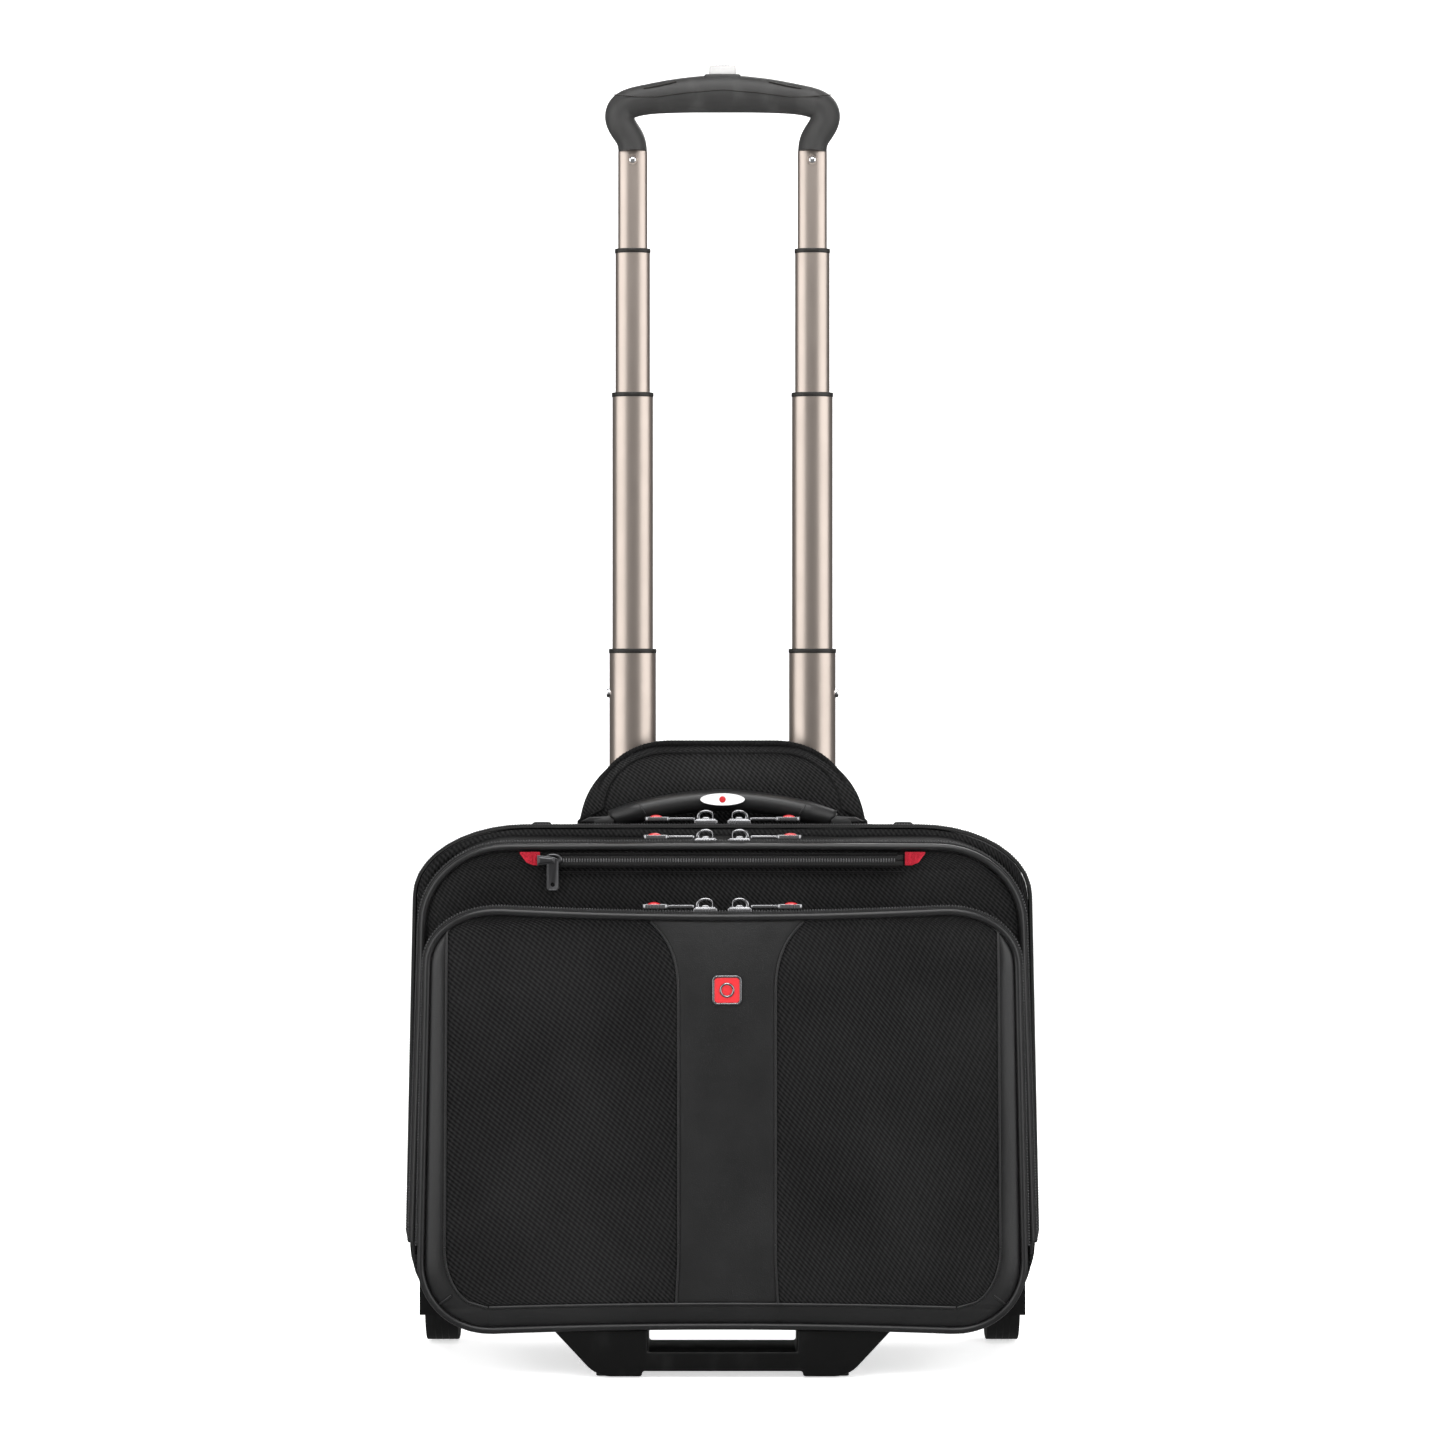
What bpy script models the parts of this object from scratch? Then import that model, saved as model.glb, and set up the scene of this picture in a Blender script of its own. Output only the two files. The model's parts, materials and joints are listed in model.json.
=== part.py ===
"""Rolling pilot case with a four-stage pull handle.

Frame: metres, +Z up, the front of the case faces -Y, and the origin is on the floor under the
middle of the case.  The case is a soft shell in three depths (organiser, main, rear), each with
its own rounded outline.  Zips run over the top of each outline down to the fold line, and the
main cover and the organiser lid fold forward about one hinge line at the front.
"""

import math
from dataclasses import dataclass, replace

import bmesh
import bpy
from mathutils import Euler, Matrix, Vector

MM = 0.001
GAP = 0.3 * MM              # clearance between pieces that touch
SHELL_WALL = 4.0 * MM       # fabric, foam and board together
COVER_WALL = 3.0 * MM
CORNER_STEPS = 6


@dataclass(frozen=True)
class Outline:
    """A rounded outline seen from the front, with elliptical corners."""

    half_top: float
    half_bottom: float
    z_bottom: float
    z_top: float
    top_corner: tuple
    bottom_corner: tuple

    def inset(self, depth):
        """The same outline moved in by depth all round."""
        return replace(
            self,
            half_top=self.half_top - depth,
            half_bottom=self.half_bottom - depth,
            z_bottom=self.z_bottom + depth,
            z_top=self.z_top - depth,
            top_corner=tuple(max(r - depth, MM) for r in self.top_corner),
            bottom_corner=tuple(max(r - depth, MM) for r in self.bottom_corner),
        )

    def corner(self, half, z, radii, side, up):
        """The arc of one corner, from the side wall to the flat."""
        rx, rz = radii
        angles = [math.pi / 2 * i / CORNER_STEPS for i in range(CORNER_STEPS + 1)]
        return [
            (side * (half - rx + rx * math.cos(a)), z + up * (-rz + rz * math.sin(a)))
            for a in angles
        ]

    def arch(self, z_low):
        """The open line from z_low on the left, over the top, to z_low on the right."""
        left = self.corner(self.half_top, self.z_top, self.top_corner, -1, 1)
        right = self.corner(self.half_top, self.z_top, self.top_corner, 1, 1)
        foot = self.side_at(z_low)
        return [(-foot, z_low)] + left + right[::-1] + [(foot, z_low)]

    def cup(self, z_high):
        """The open line from z_high on the left, under the bottom, to z_high on the right."""
        left = self.corner(self.half_bottom, self.z_bottom, self.bottom_corner, -1, -1)
        right = self.corner(self.half_bottom, self.z_bottom, self.bottom_corner, 1, -1)
        brim = self.side_at(z_high)
        return [(-brim, z_high)] + left + right[::-1] + [(brim, z_high)]

    def side_at(self, z):
        """Half the width at height z on the straight side."""
        low = self.z_bottom + self.bottom_corner[1]
        high = self.z_top - self.top_corner[1]
        share = (z - low) / (high - low)
        return self.half_bottom + (self.half_top - self.half_bottom) * share

    def loop(self):
        """The whole closed outline."""
        middle = self.z_bottom + self.bottom_corner[1]
        return self.arch(middle)[1:-1] + self.cup(middle)[1:-1][::-1]


# ---- driving dimensions -------------------------------------------------------------------
CASE_HALF = 217 * MM        # half the case's width, at its widest
CASE_BASE = 32.5 * MM       # underside of the soft case
CASE_TOP = 366 * MM         # top of the rear shell
FOLD_Z = CASE_BASE + 55.5 * MM      # where the zips end and the covers fold

ORGANISER = Outline(CASE_HALF - 20 * MM, CASE_HALF - 15.5 * MM, CASE_BASE, CASE_TOP - 57.5 * MM,
                    (46 * MM, 45 * MM), (48 * MM, 46 * MM))
MAIN = Outline(CASE_HALF - 15 * MM, CASE_HALF - 8 * MM, CASE_BASE, CASE_TOP - 12.5 * MM,
               (64 * MM, 62 * MM), (50 * MM, 46 * MM))
REAR = Outline(CASE_HALF - 5 * MM, CASE_HALF, CASE_BASE, CASE_TOP, (90 * MM, 52 * MM), (52 * MM, 46 * MM))

FRONT_Y = -110 * MM         # outer face of the organiser lid
LID_DEPTH = 6.5 * MM
ZIP_HALF = 4.5 * MM         # one side of a zip, tape and teeth
ZIP_TOP = 0.4 * MM          # how far a zip lies below the outline
ZIP_THICK = 2.0 * MM
COVER_Y = -80 * MM          # outer face of the main cover
COVER_DEPTH = 9.5 * MM
CENTRE_BACK_Y = -6 * MM     # back edge of the centre gusset
BACK_Y = 112 * MM           # outer face of the back wall
HINGE_Y = FRONT_Y           # the fold line of both covers, on the outer face

PIPING_R = 2.0 * MM

TUBE_X = 64 * MM            # from the middle to each handle tube
TUBE_Y = BACK_Y - 31 * MM
TUBE_WALL = 1.1 * MM
WIDEST_TUBE = (34 * MM, 24 * MM)    # the first moving tube, width and depth
STAGE_STEPS = (0, 4.2 * MM, 8.6 * MM, 12.4 * MM)    # how much narrower each stage is than the first
STAGE_TUBES = tuple((WIDEST_TUBE[0] - step, WIDEST_TUBE[1] - step) for step in STAGE_STEPS)
HOUSING_TUBE = (WIDEST_TUBE[0] + 7 * MM, WIDEST_TUBE[1] + 6 * MM)   # the fixed sleeve
HOUSING_TUBE_WALL = 1.5 * MM
STAGE_TOPS = tuple(CASE_TOP + rise for rise in (125.5 * MM, 308 * MM, 410.5 * MM, 480 * MM))
STAGE_LENGTHS = (285 * MM, 245 * MM, 240 * MM, 205 * MM)
COLLAR_HEIGHT = 5 * MM
COLLAR_PROUD = 0.25 * MM
SLIDE_GAP = 0.35 * MM       # between a collar or a guide and the tube that runs in it
GUIDE_HEIGHT = 12 * MM
TUBE_POWER = 2.6            # roundness of the oval tubes, 2 being an ellipse
TUBE_SIDES = 24
HOUSING_FOOT_Z = 46 * MM
BRACKET_TOP = REAR.z_top + 2 * MM
BRACKET_THICK = 10 * MM
BRACKET_HALF = (TUBE_X + 30 * MM, 17.5 * MM)
BRACKET_FOOT_DEPTH = 38 * MM
BAY_PANEL_DEPTH = 2.5 * MM
BAY_PANEL_GAP = 1 * MM      # round the panel, inside the rear shell
RIVET_Z = STAGE_TOPS[0] - 32 * MM   # side rivets of the widest moving tube
RIVET_R = 3 * MM
RIVET_PROUD = 1.6 * MM

WHEEL_R = 32 * MM
WHEEL_X = CASE_HALF - 18.5 * MM
WHEEL_Y = BACK_Y - WHEEL_R
TYRE_WIDTH = 23 * MM
TYRE_SEAT_R = 21 * MM
HUB_WIDTH = 19 * MM
AXLE_R = 4 * MM
AXLE_CLEARANCE = 0.08 * MM
AXLE_HEAD = (6.5 * MM, 1.2 * MM)    # radius and thickness
HOUSING_WALL = 1.8 * MM
HOUSING_SIDE_GAP = 1.4 * MM
HOUSING_Z = (WHEEL_R - 10 * MM, 2 * WHEEL_R + 8 * MM)
HOUSING_Y = (WHEEL_Y - WHEEL_R - 6 * MM, BACK_Y - 0.5 * MM)
HOUSING_CHAMFER = 24 * MM   # at the housing's upper back corner

SLIP_Z = MAIN.z_top - 7.5 * MM
SLIP_X = (-119 * MM, 119 * MM)
SLIP_TAPE_END = 6 * MM      # how far the tape runs past the slider's travel
SLIP_THICK = 2 * MM
SLIP_HEIGHT = 9 * MM
BADGE_SIZE = (9.8 * MM, 1.7 * MM)   # radius and thickness
BADGE_Z = ORGANISER.z_top - 48.5 * MM

SLIDER_LENGTH = 16 * MM
SLIDER_DEPTH = 7 * MM
SLIDER_BASE = 2.5 * MM
LOOP_HEIGHT = 8.5 * MM
LOOP_BAR = 1.6 * MM
PULL_LENGTH = 34 * MM
PULL_DEPTH = 5.5 * MM
PULL_THICK = 2.2 * MM
SLIDER_X = 11.5 * MM
PULL_GAP = 0.5 * MM
PULL_LIFT = 0.2 * MM
SLIP_PULL_TOP = SLIP_Z - 4 * MM
SLIP_PULL_THICK = 1.6 * MM
SLIP_PULL_LENGTH = 22 * MM
SLIP_SLIDER = (6 * MM, 3.5 * MM)    # half its length; its depth and half its height
SLIP_PULL_X = (0.5 * MM, 8.5 * MM)
SLIP_PULL_Y = COVER_Y - 2 * GAP - 3.6 * MM
PULL_TIP = 2 * MM           # length of the tapered end of a pull

# Outward from the tube's middle, up from the top tube's end, and radius.
GRIP_LINE = ((0, 0.3, 10.4), (0, 4.5, 10.4), (2.4, 10, 10.5), (5.2, 15, 10.7), (6, 21, 11.7), (4, 29, 12.7),
             (-4, 34.7, 12.6), (-17, 37.7, 12.1), (-32, 39.3, 12.4), (-49, 40, 13.2))
GRIP_MIDDLE = (40 * MM, 13.4 * MM)  # up from the top tube's end, and radius
GRIP_FLAT = 1.15            # the grip is a little deeper than it is high
SPIGOT_Z = (-18 * MM, 8 * MM)       # from the top tube's end
BUTTON_HALF = (10.5 * MM, 8 * MM)
BUTTON_TOP = STAGE_TOPS[3] + 57 * MM
BUTTON_DEEP = 9 * MM
SPRING_LENGTH = 11 * MM
SPRING_RADIUS = 4.5 * MM
SPRING_WIRE = 0.5 * MM
SPRING_TURNS = 4
SPRING_SIDES = 10           # points in one turn

HUMP = Outline(TUBE_X + 14 * MM, TUBE_X + 39 * MM, CASE_TOP + GAP, CASE_TOP + 59 * MM,
               (38 * MM, 34 * MM), (MM, MM))
HUMP_FRONT_Y = (TUBE_Y - 31 * MM, TUBE_Y - 24 * MM)
HUMP_BACK_Y = (TUBE_Y + 20 * MM, TUBE_Y + 25 * MM)

HANDLE_Y = 26 * MM
HANDLE_R = 7 * MM
HANDLE_FLAT = 1.7           # the bar's depth over its height
HANDLE_NECK = 0.72          # the ends' share of the bar's radius
HANDLE_LINE = ((-76, 8), (-68, 9.6), (-57, 12.8), (-41, 16), (-21, 18.2))   # z is above the case's top
HANDLE_CREST = CASE_TOP + 19 * MM
HANDLE_PIVOT_Z = CASE_TOP + 8 * MM
HANDLE_BADGE = (15.5 * MM, 4.2 * MM, 2 * MM)    # half its width, half its height and its thickness
ANCHOR_LENGTH = 11 * MM
ANCHOR_GAP = 2 * MM         # between the bar's ends and the anchors
ANCHOR_HEIGHT = 15 * MM
ANCHOR_DEPTH = 24 * MM

FOOT_TOP = ORGANISER.z_bottom - GAP
FOOT_Y = (-104 * MM, -42 * MM)
FOOT_BAR_DEPTH = 22 * MM
FOOT_SLOT_HALF = 50 * MM
FOOT_SLOT_Z = 17 * MM
FOOT_RELIEF = 3.3 * MM
FOOT_SLOT_R = 3 * MM


# ---- helpers ------------------------------------------------------------------------------
def new_collection(name):
    collection = bpy.data.collections.new(name)
    bpy.context.scene.collection.children.link(collection)
    return collection


def clear_scene():
    for obj in list(bpy.data.objects):
        bpy.data.objects.remove(obj)


def make_material(name, colour, roughness, metallic=0.0):
    material = bpy.data.materials.new(name)
    material.use_nodes = True
    shader = material.node_tree.nodes["Principled BSDF"]
    shader.inputs["Base Color"].default_value = (*colour, 1)
    shader.inputs["Roughness"].default_value = roughness
    shader.inputs["Metallic"].default_value = metallic
    material.diffuse_color = (*colour, 1)
    return material


clear_scene()
CASE = new_collection("rolling_pilot_case")
CUTTERS = new_collection("cutters")
NYLON = make_material("black_nylon", (0.018, 0.018, 0.019), 0.75)
VINYL = make_material("black_vinyl", (0.035, 0.035, 0.036), 0.45)
BOARD = make_material("grey_board", (0.10, 0.10, 0.11), 0.8)
PLASTIC = make_material("black_plastic", (0.012, 0.012, 0.013), 0.5)
SOFT_GRIP = make_material("soft_grip", (0.07, 0.07, 0.072), 0.55)
ALUMINIUM = make_material("champagne_aluminium", (0.56, 0.48, 0.43), 0.32, 1.0)
CHROME = make_material("bright_metal", (0.75, 0.75, 0.76), 0.18, 1.0)
GUNMETAL = make_material("gunmetal", (0.14, 0.14, 0.15), 0.35, 1.0)
RUBBER = make_material("wheel_rubber", (0.02, 0.02, 0.02), 0.7)
ZIP = make_material("zip_tape", (0.02, 0.02, 0.021), 0.6)
BADGE_RED = make_material("badge_red", (0.55, 0.02, 0.03), 0.35)
BADGE_WHITE = make_material("badge_white", (0.85, 0.85, 0.85), 0.35)


def place(obj, material, collection=CASE):
    """Puts an object in its collection with its material."""
    for old in list(obj.users_collection):
        old.objects.unlink(obj)
    collection.objects.link(obj)
    if material is not None:
        obj.data.materials.clear()
        obj.data.materials.append(material)
    return obj


def as_helper(obj):
    """Moves an object to the cutters, out of the render."""
    place(obj, None, CUTTERS)
    obj.hide_render = True
    obj.display_type = "WIRE"
    return obj


def smooth(obj, degrees=40):
    obj.data.shade_smooth()
    obj.data.set_sharp_from_angle(angle=math.radians(degrees))
    return obj


def boolean(obj, other, operation="DIFFERENCE"):
    modifier = obj.modifiers.new(f"{operation.lower()}_{other.name}", "BOOLEAN")
    modifier.operation = operation
    modifier.object = as_helper(other)
    return obj


def bevel(obj, width, segments=2, degrees=30):
    modifier = obj.modifiers.new("rounded_edges", "BEVEL")
    modifier.width = width
    modifier.segments = segments
    modifier.limit_method = "ANGLE"
    modifier.angle_limit = math.radians(degrees)
    return obj


def box(name, low, high, material=None):
    """A cuboid between two corners."""
    size = [h - l for l, h in zip(low, high)]
    middle = [(h + l) / 2 for l, h in zip(low, high)]
    bpy.ops.mesh.primitive_cube_add(size=1, location=middle)
    obj = bpy.context.object
    obj.name = name
    obj.data.transform(Matrix.Diagonal((*size, 1)))
    return place(obj, material)


# The three ways that a flat outline is turned: seen from the front, from above, from the side.
FRONT = Euler((math.pi / 2, 0, 0))
PLAN = Euler((0, 0, 0))
SIDE = Euler((math.pi / 2, 0, math.pi / 2))


def flat_solid(name, loops, turn, start, end, material):
    """A flat outline of one or more closed loops, made thick between start and end."""
    data = bpy.data.curves.new(name, "CURVE")
    data.dimensions = "2D"
    data.fill_mode = "BOTH"
    data.extrude = abs(end - start) / 2
    for loop in loops:
        spline = data.splines.new("POLY")
        spline.points.add(len(loop) - 1)
        spline.use_cyclic_u = True
        for point, (u, v) in zip(spline.points, loop):
            point.co = (u, v, 0, 1)
    obj = bpy.data.objects.new(name, data)
    obj.rotation_euler = turn
    middle = Vector((0, 0, (start + end) / 2))
    middle.rotate(turn)
    obj.location = middle if turn != FRONT else -middle
    return place(obj, material)


def as_mesh(obj):
    """The curve as a mesh with its caps welded, so that it can be cut or joined."""
    bpy.context.view_layer.update()
    graph = bpy.context.evaluated_depsgraph_get()
    mesh = bpy.data.meshes.new_from_object(obj.evaluated_get(graph))
    bm = bmesh.new()
    bm.from_mesh(mesh)
    bmesh.ops.remove_doubles(bm, verts=bm.verts, dist=0.01 * MM)
    bmesh.ops.recalc_face_normals(bm, faces=bm.faces)
    bm.to_mesh(mesh)
    bm.free()
    name = obj.name
    matrix = obj.matrix_world.copy()
    bpy.data.objects.remove(obj)
    made = bpy.data.objects.new(name, mesh)
    made.matrix_world = matrix
    CASE.objects.link(made)
    return made


def band(name, outline, outer, inner, z_low, y_low, y_high, material):
    """An arch of the outline between two insets, open at the bottom."""
    loop = outline.inset(outer).arch(z_low) + outline.inset(inner).arch(z_low)[::-1]
    return flat_solid(name, [loop], FRONT, y_low, y_high, material)


def dish(name, line, y_face, y_rim, wall, material):
    """A panel with a rim: the area inside an open line, and the line's edges drawn back."""
    bm = bmesh.new()
    corners = [bm.verts.new((x, y_face, z)) for x, z in line]
    face = bm.faces.new(corners)
    face.normal_update()
    if face.normal.y > 0:
        face.normal_flip()
    ends = {corners[0], corners[-1]}
    rim = [edge for edge in bm.edges if set(edge.verts) != ends]
    drawn = bmesh.ops.extrude_edge_only(bm, edges=rim)["geom"]
    moved = [item for item in drawn if isinstance(item, bmesh.types.BMVert)]
    bmesh.ops.translate(bm, verts=moved, vec=(0, y_rim - y_face, 0))
    bmesh.ops.recalc_face_normals(bm, faces=bm.faces)
    face.normal_update()
    if face.normal.y > 0:
        bmesh.ops.reverse_faces(bm, faces=bm.faces)
    mesh = bpy.data.meshes.new(name)
    bm.to_mesh(mesh)
    bm.free()
    obj = place(bpy.data.objects.new(name, mesh), material)
    thicken = obj.modifiers.new("wall", "SOLIDIFY")
    thicken.thickness = wall
    thicken.offset = -1
    thicken.use_even_offset = True
    return obj


def tub(name, outline, y_open, y_closed, wall, material):
    """A closed outline with a wall at y_closed and an open mouth at y_open."""
    bm = bmesh.new()
    face = bm.faces.new([bm.verts.new((x, y_closed, z)) for x, z in outline.loop()])
    face.normal_update()
    if face.normal.y < 0:
        face.normal_flip()
    drawn = bmesh.ops.extrude_edge_only(bm, edges=bm.edges)["geom"]
    moved = [item for item in drawn if isinstance(item, bmesh.types.BMVert)]
    bmesh.ops.translate(bm, verts=moved, vec=(0, y_open - y_closed, 0))
    bmesh.ops.recalc_face_normals(bm, faces=bm.faces)
    face.normal_update()
    if face.normal.y < 0:
        bmesh.ops.reverse_faces(bm, faces=bm.faces)
    mesh = bpy.data.meshes.new(name)
    bm.to_mesh(mesh)
    bm.free()
    obj = place(bpy.data.objects.new(name, mesh), material)
    thicken = obj.modifiers.new("wall", "SOLIDIFY")
    thicken.thickness = wall
    thicken.offset = -1
    thicken.use_even_offset = True
    return obj


def cord_curve(name, points, radii, material, sides=2, squash_y=1.0, y=0.0):
    """A round bar along points (x, z), its radius changing from point to point, flattened along Y."""
    data = bpy.data.curves.new(name, "CURVE")
    data.dimensions = "3D"
    data.bevel_depth = 1.0
    data.bevel_resolution = sides
    data.use_fill_caps = True
    spline = data.splines.new("POLY")
    spline.points.add(len(points) - 1)
    for point, (x, z), radius in zip(spline.points, points, radii):
        point.co = (x, 0, z, 1)
        point.radius = radius
    obj = bpy.data.objects.new(name, data)
    obj.scale = (1, squash_y, 1)
    obj.location = (0, y, 0)
    return place(obj, material)


def oval(width, depth, x=0.0, y=0.0, sides=TUBE_SIDES, power=TUBE_POWER):
    """The points of a rounded oval seen from above."""
    points = []
    for i in range(sides):
        a = 2 * math.pi * i / sides
        c = math.cos(a)
        s = math.sin(a)
        px = math.copysign(abs(c) ** (2 / power), c) * width / 2
        py = math.copysign(abs(s) ** (2 / power), s) * depth / 2
        points.append((x + px, y + py))
    return points


def turned(name, profile, centre, material, steps=32):
    """A profile of (radius, x) points spun about the X axis; it is closed unless it ends on the axis."""
    mesh = bpy.data.meshes.new(name)
    count = len(profile)
    edges = [(i, i + 1) for i in range(count - 1)]
    if profile[0][0] > 0:
        edges.append((count - 1, 0))
    mesh.from_pydata([(x, 0, r) for r, x in profile], edges, [])
    obj = place(bpy.data.objects.new(name, mesh), material)
    obj.location = centre
    spin = obj.modifiers.new("spin", "SCREW")
    spin.axis = "X"
    spin.steps = steps
    spin.render_steps = steps
    spin.use_merge_vertices = True
    spin.merge_threshold = 0.00005
    return obj


# ---- the soft case ------------------------------------------------------------------------
def build_case_shell():
    """The rear shell, the centre gusset, the tray under the fold and the inner boards."""
    rear = tub("rear_shell", REAR, CENTRE_BACK_Y + GAP, BACK_Y, SHELL_WALL, NYLON)
    slot_x, slot_y = (half + GAP for half in BRACKET_HALF)
    boolean(rear, box("bracket_slot", (-slot_x, TUBE_Y - slot_y, REAR.z_top - 12 * MM),
                      (slot_x, TUBE_Y + slot_y, REAR.z_top + 12 * MM)))
    for side in (-1, 1):
        inner = WHEEL_X - TYRE_WIDTH / 2 - HOUSING_SIDE_GAP - HOUSING_WALL - 2 * GAP - AXLE_HEAD[1]
        xs = sorted((side * inner, side * (REAR.half_bottom + 9 * MM)))
        boolean(rear, box(f"wheel_well_{side}", (xs[0], HOUSING_Y[0] - GAP, 10 * MM),
                          (xs[1], BACK_Y + 9 * MM, HOUSING_Z[1] + GAP)))
    rebate = band("zip_rebate", REAR, -5 * MM, ZIP_TOP + ZIP_THICK + GAP, FOLD_Z - GAP,
                  CENTRE_BACK_Y - MM, CENTRE_BACK_Y + 2 * GAP + 2 * ZIP_HALF, None)
    boolean(rear, as_mesh(rebate))

    flat_solid("centre_gusset", [MAIN.loop(), MAIN.inset(SHELL_WALL).loop()], FRONT,
               COVER_Y + COVER_DEPTH + ZIP_HALF + GAP, CENTRE_BACK_Y, NYLON)
    divider = MAIN.inset(SHELL_WALL + GAP)
    flat_solid("compartment_divider", [divider.loop()], FRONT,
               CENTRE_BACK_Y - 6 * MM, CENTRE_BACK_Y - 2 * MM, NYLON)
    tray = dish("front_tray", ORGANISER.cup(FOLD_Z), FRONT_Y,
                COVER_Y + COVER_DEPTH + ZIP_HALF, COVER_WALL, VINYL)
    wall = flat_solid("organiser_back_wall", [ORGANISER.inset(COVER_WALL / 2).cup(FOLD_Z)], FRONT,
                      COVER_Y, COVER_Y + COVER_WALL, None)
    boolean(tray, as_mesh(wall), "UNION")

    floor_z = MAIN.z_bottom + SHELL_WALL + GAP
    half = MAIN.half_bottom - MAIN.bottom_corner[0]
    panel_back = TUBE_Y - BRACKET_FOOT_DEPTH / 2 - GAP
    panel_front = panel_back - BAY_PANEL_DEPTH
    board = box("bottom_board", (-half, CENTRE_BACK_Y + SHELL_WALL, floor_z),
                (half, panel_front - GAP, floor_z + 3 * MM), BOARD)
    bevel(board, 0.8 * MM, 1)
    bay = REAR.inset(SHELL_WALL + BAY_PANEL_GAP)
    flat_solid("handle_bay_panel", [bay.arch(HOUSING_Z[1] + 4 * MM)], FRONT, panel_front, panel_back, BOARD)


def build_main_cover():
    """The main cover with its piping and half zip, the organiser's gusset and the slip pocket."""
    low = FOLD_Z + GAP
    dish("main_cover_panel", MAIN.arch(low), COVER_Y, COVER_Y + COVER_DEPTH, COVER_WALL, NYLON)
    zip_y = COVER_Y + COVER_DEPTH + GAP
    band("zip_main", MAIN, ZIP_TOP, ZIP_TOP + ZIP_THICK, low, zip_y, zip_y + ZIP_HALF - GAP, ZIP)
    front = FRONT_Y + LID_DEPTH + ZIP_HALF + GAP
    band("organiser_gusset", ORGANISER, 0, COVER_WALL, low, front, COVER_Y - GAP, NYLON)
    path = MAIN.inset(-PIPING_R - GAP).arch(low)
    cord_curve("cover_piping", path, [PIPING_R] * len(path), VINYL, sides=1, y=COVER_Y + PIPING_R)


def build_slip_pocket():
    zip_box = box("zip_slip_pocket",
                  (SLIP_X[0] - SLIP_TAPE_END, COVER_Y - GAP - SLIP_THICK, SLIP_Z - SLIP_HEIGHT / 2),
                  (SLIP_X[1] + SLIP_TAPE_END, COVER_Y - GAP, SLIP_Z + SLIP_HEIGHT / 2), ZIP)
    bevel(zip_box, 0.5 * MM, 1)


def build_organiser_lid():
    """The organiser lid with its piping, half zip and round badge."""
    low = FOLD_Z + GAP
    dish("organiser_lid_panel", ORGANISER.arch(low), FRONT_Y, FRONT_Y + LID_DEPTH, COVER_WALL, NYLON)
    zip_y = FRONT_Y + LID_DEPTH + GAP
    band("zip_organiser", ORGANISER, ZIP_TOP, ZIP_TOP + ZIP_THICK, low, zip_y, zip_y + ZIP_HALF - GAP, ZIP)
    path = ORGANISER.inset(-PIPING_R - GAP).arch(low)
    cord_curve("lid_piping", path, [PIPING_R] * len(path), VINYL, sides=1, y=FRONT_Y + PIPING_R)
    radius, depth = BADGE_SIZE
    bpy.ops.mesh.primitive_cylinder_add(
        vertices=24, radius=radius, depth=depth, location=(0, FRONT_Y - GAP - depth / 2, BADGE_Z),
        rotation=(math.pi / 2, 0, 0))
    badge = bpy.context.object
    badge.name = "front_badge"
    bevel(smooth(place(badge, BADGE_RED)), 0.5 * MM, 1)


# ---- zip sliders and pulls ----------------------------------------------------------------


def half_round(half, height, steps=6):
    """A D outline standing on its flat side."""
    return [(half * math.cos(math.pi * i / steps), height * math.sin(math.pi * i / steps) ** 0.7)
            for i in range(steps + 1)]


def build_top_slider(name, side, y, z):
    """A slider with an upright D loop, and a pull that lies outwards on the case."""
    x = side * SLIDER_X
    half = SLIDER_LENGTH / 2
    outer = [(x + u, z + SLIDER_BASE / 2 + v) for u, v in half_round(half, LOOP_HEIGHT)]
    inner = [(x + u, z + SLIDER_BASE / 2 + LOOP_BAR + v)
             for u, v in half_round(half - LOOP_BAR, LOOP_HEIGHT - 2 * LOOP_BAR)]
    loop = as_mesh(flat_solid(f"{name}_loop", [outer, inner], FRONT, y - MM, y + MM, GUNMETAL))
    base = box(f"{name}_slider", (x - half, y - SLIDER_DEPTH / 2, z),
               (x + half, y + SLIDER_DEPTH / 2, z + SLIDER_BASE), GUNMETAL)
    boolean(base, loop, "UNION")

    near = x + side * (half + PULL_GAP)
    far = near + side * PULL_LENGTH
    reach = [(near, y - 0.5 * PULL_DEPTH), (near, y + 0.5 * PULL_DEPTH),
             (far - side * PULL_TIP, y + 0.5 * PULL_DEPTH), (far, y + 0.25 * PULL_DEPTH),
             (far, y - 0.25 * PULL_DEPTH), (far - side * PULL_TIP, y - 0.5 * PULL_DEPTH)]
    flat_solid(f"{name}_pull", [reach], PLAN, z + PULL_LIFT, z + PULL_LIFT + PULL_THICK, CHROME)


def build_slip_slider():
    """The slip pocket's slider and the pull that hangs from it."""
    x = SLIP_X[0]
    face = COVER_Y - 2 * GAP - SLIP_THICK
    half_x, half_z = SLIP_SLIDER
    slider = box("slip_slider", (x - half_x, face - half_z, SLIP_Z - half_z),
                 (x + half_x, face, SLIP_Z + half_z), GUNMETAL)
    bevel(slider, 1 * MM, 1)
    half = SLIP_PULL_THICK / 2
    near, far = SLIP_PULL_X
    pull = box("slip_pull", (x + near, SLIP_PULL_Y - half, SLIP_PULL_TOP - SLIP_PULL_LENGTH),
               (x + far, SLIP_PULL_Y + half, SLIP_PULL_TOP), GUNMETAL)
    bevel(pull, 0.5 * MM, 1)


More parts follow.
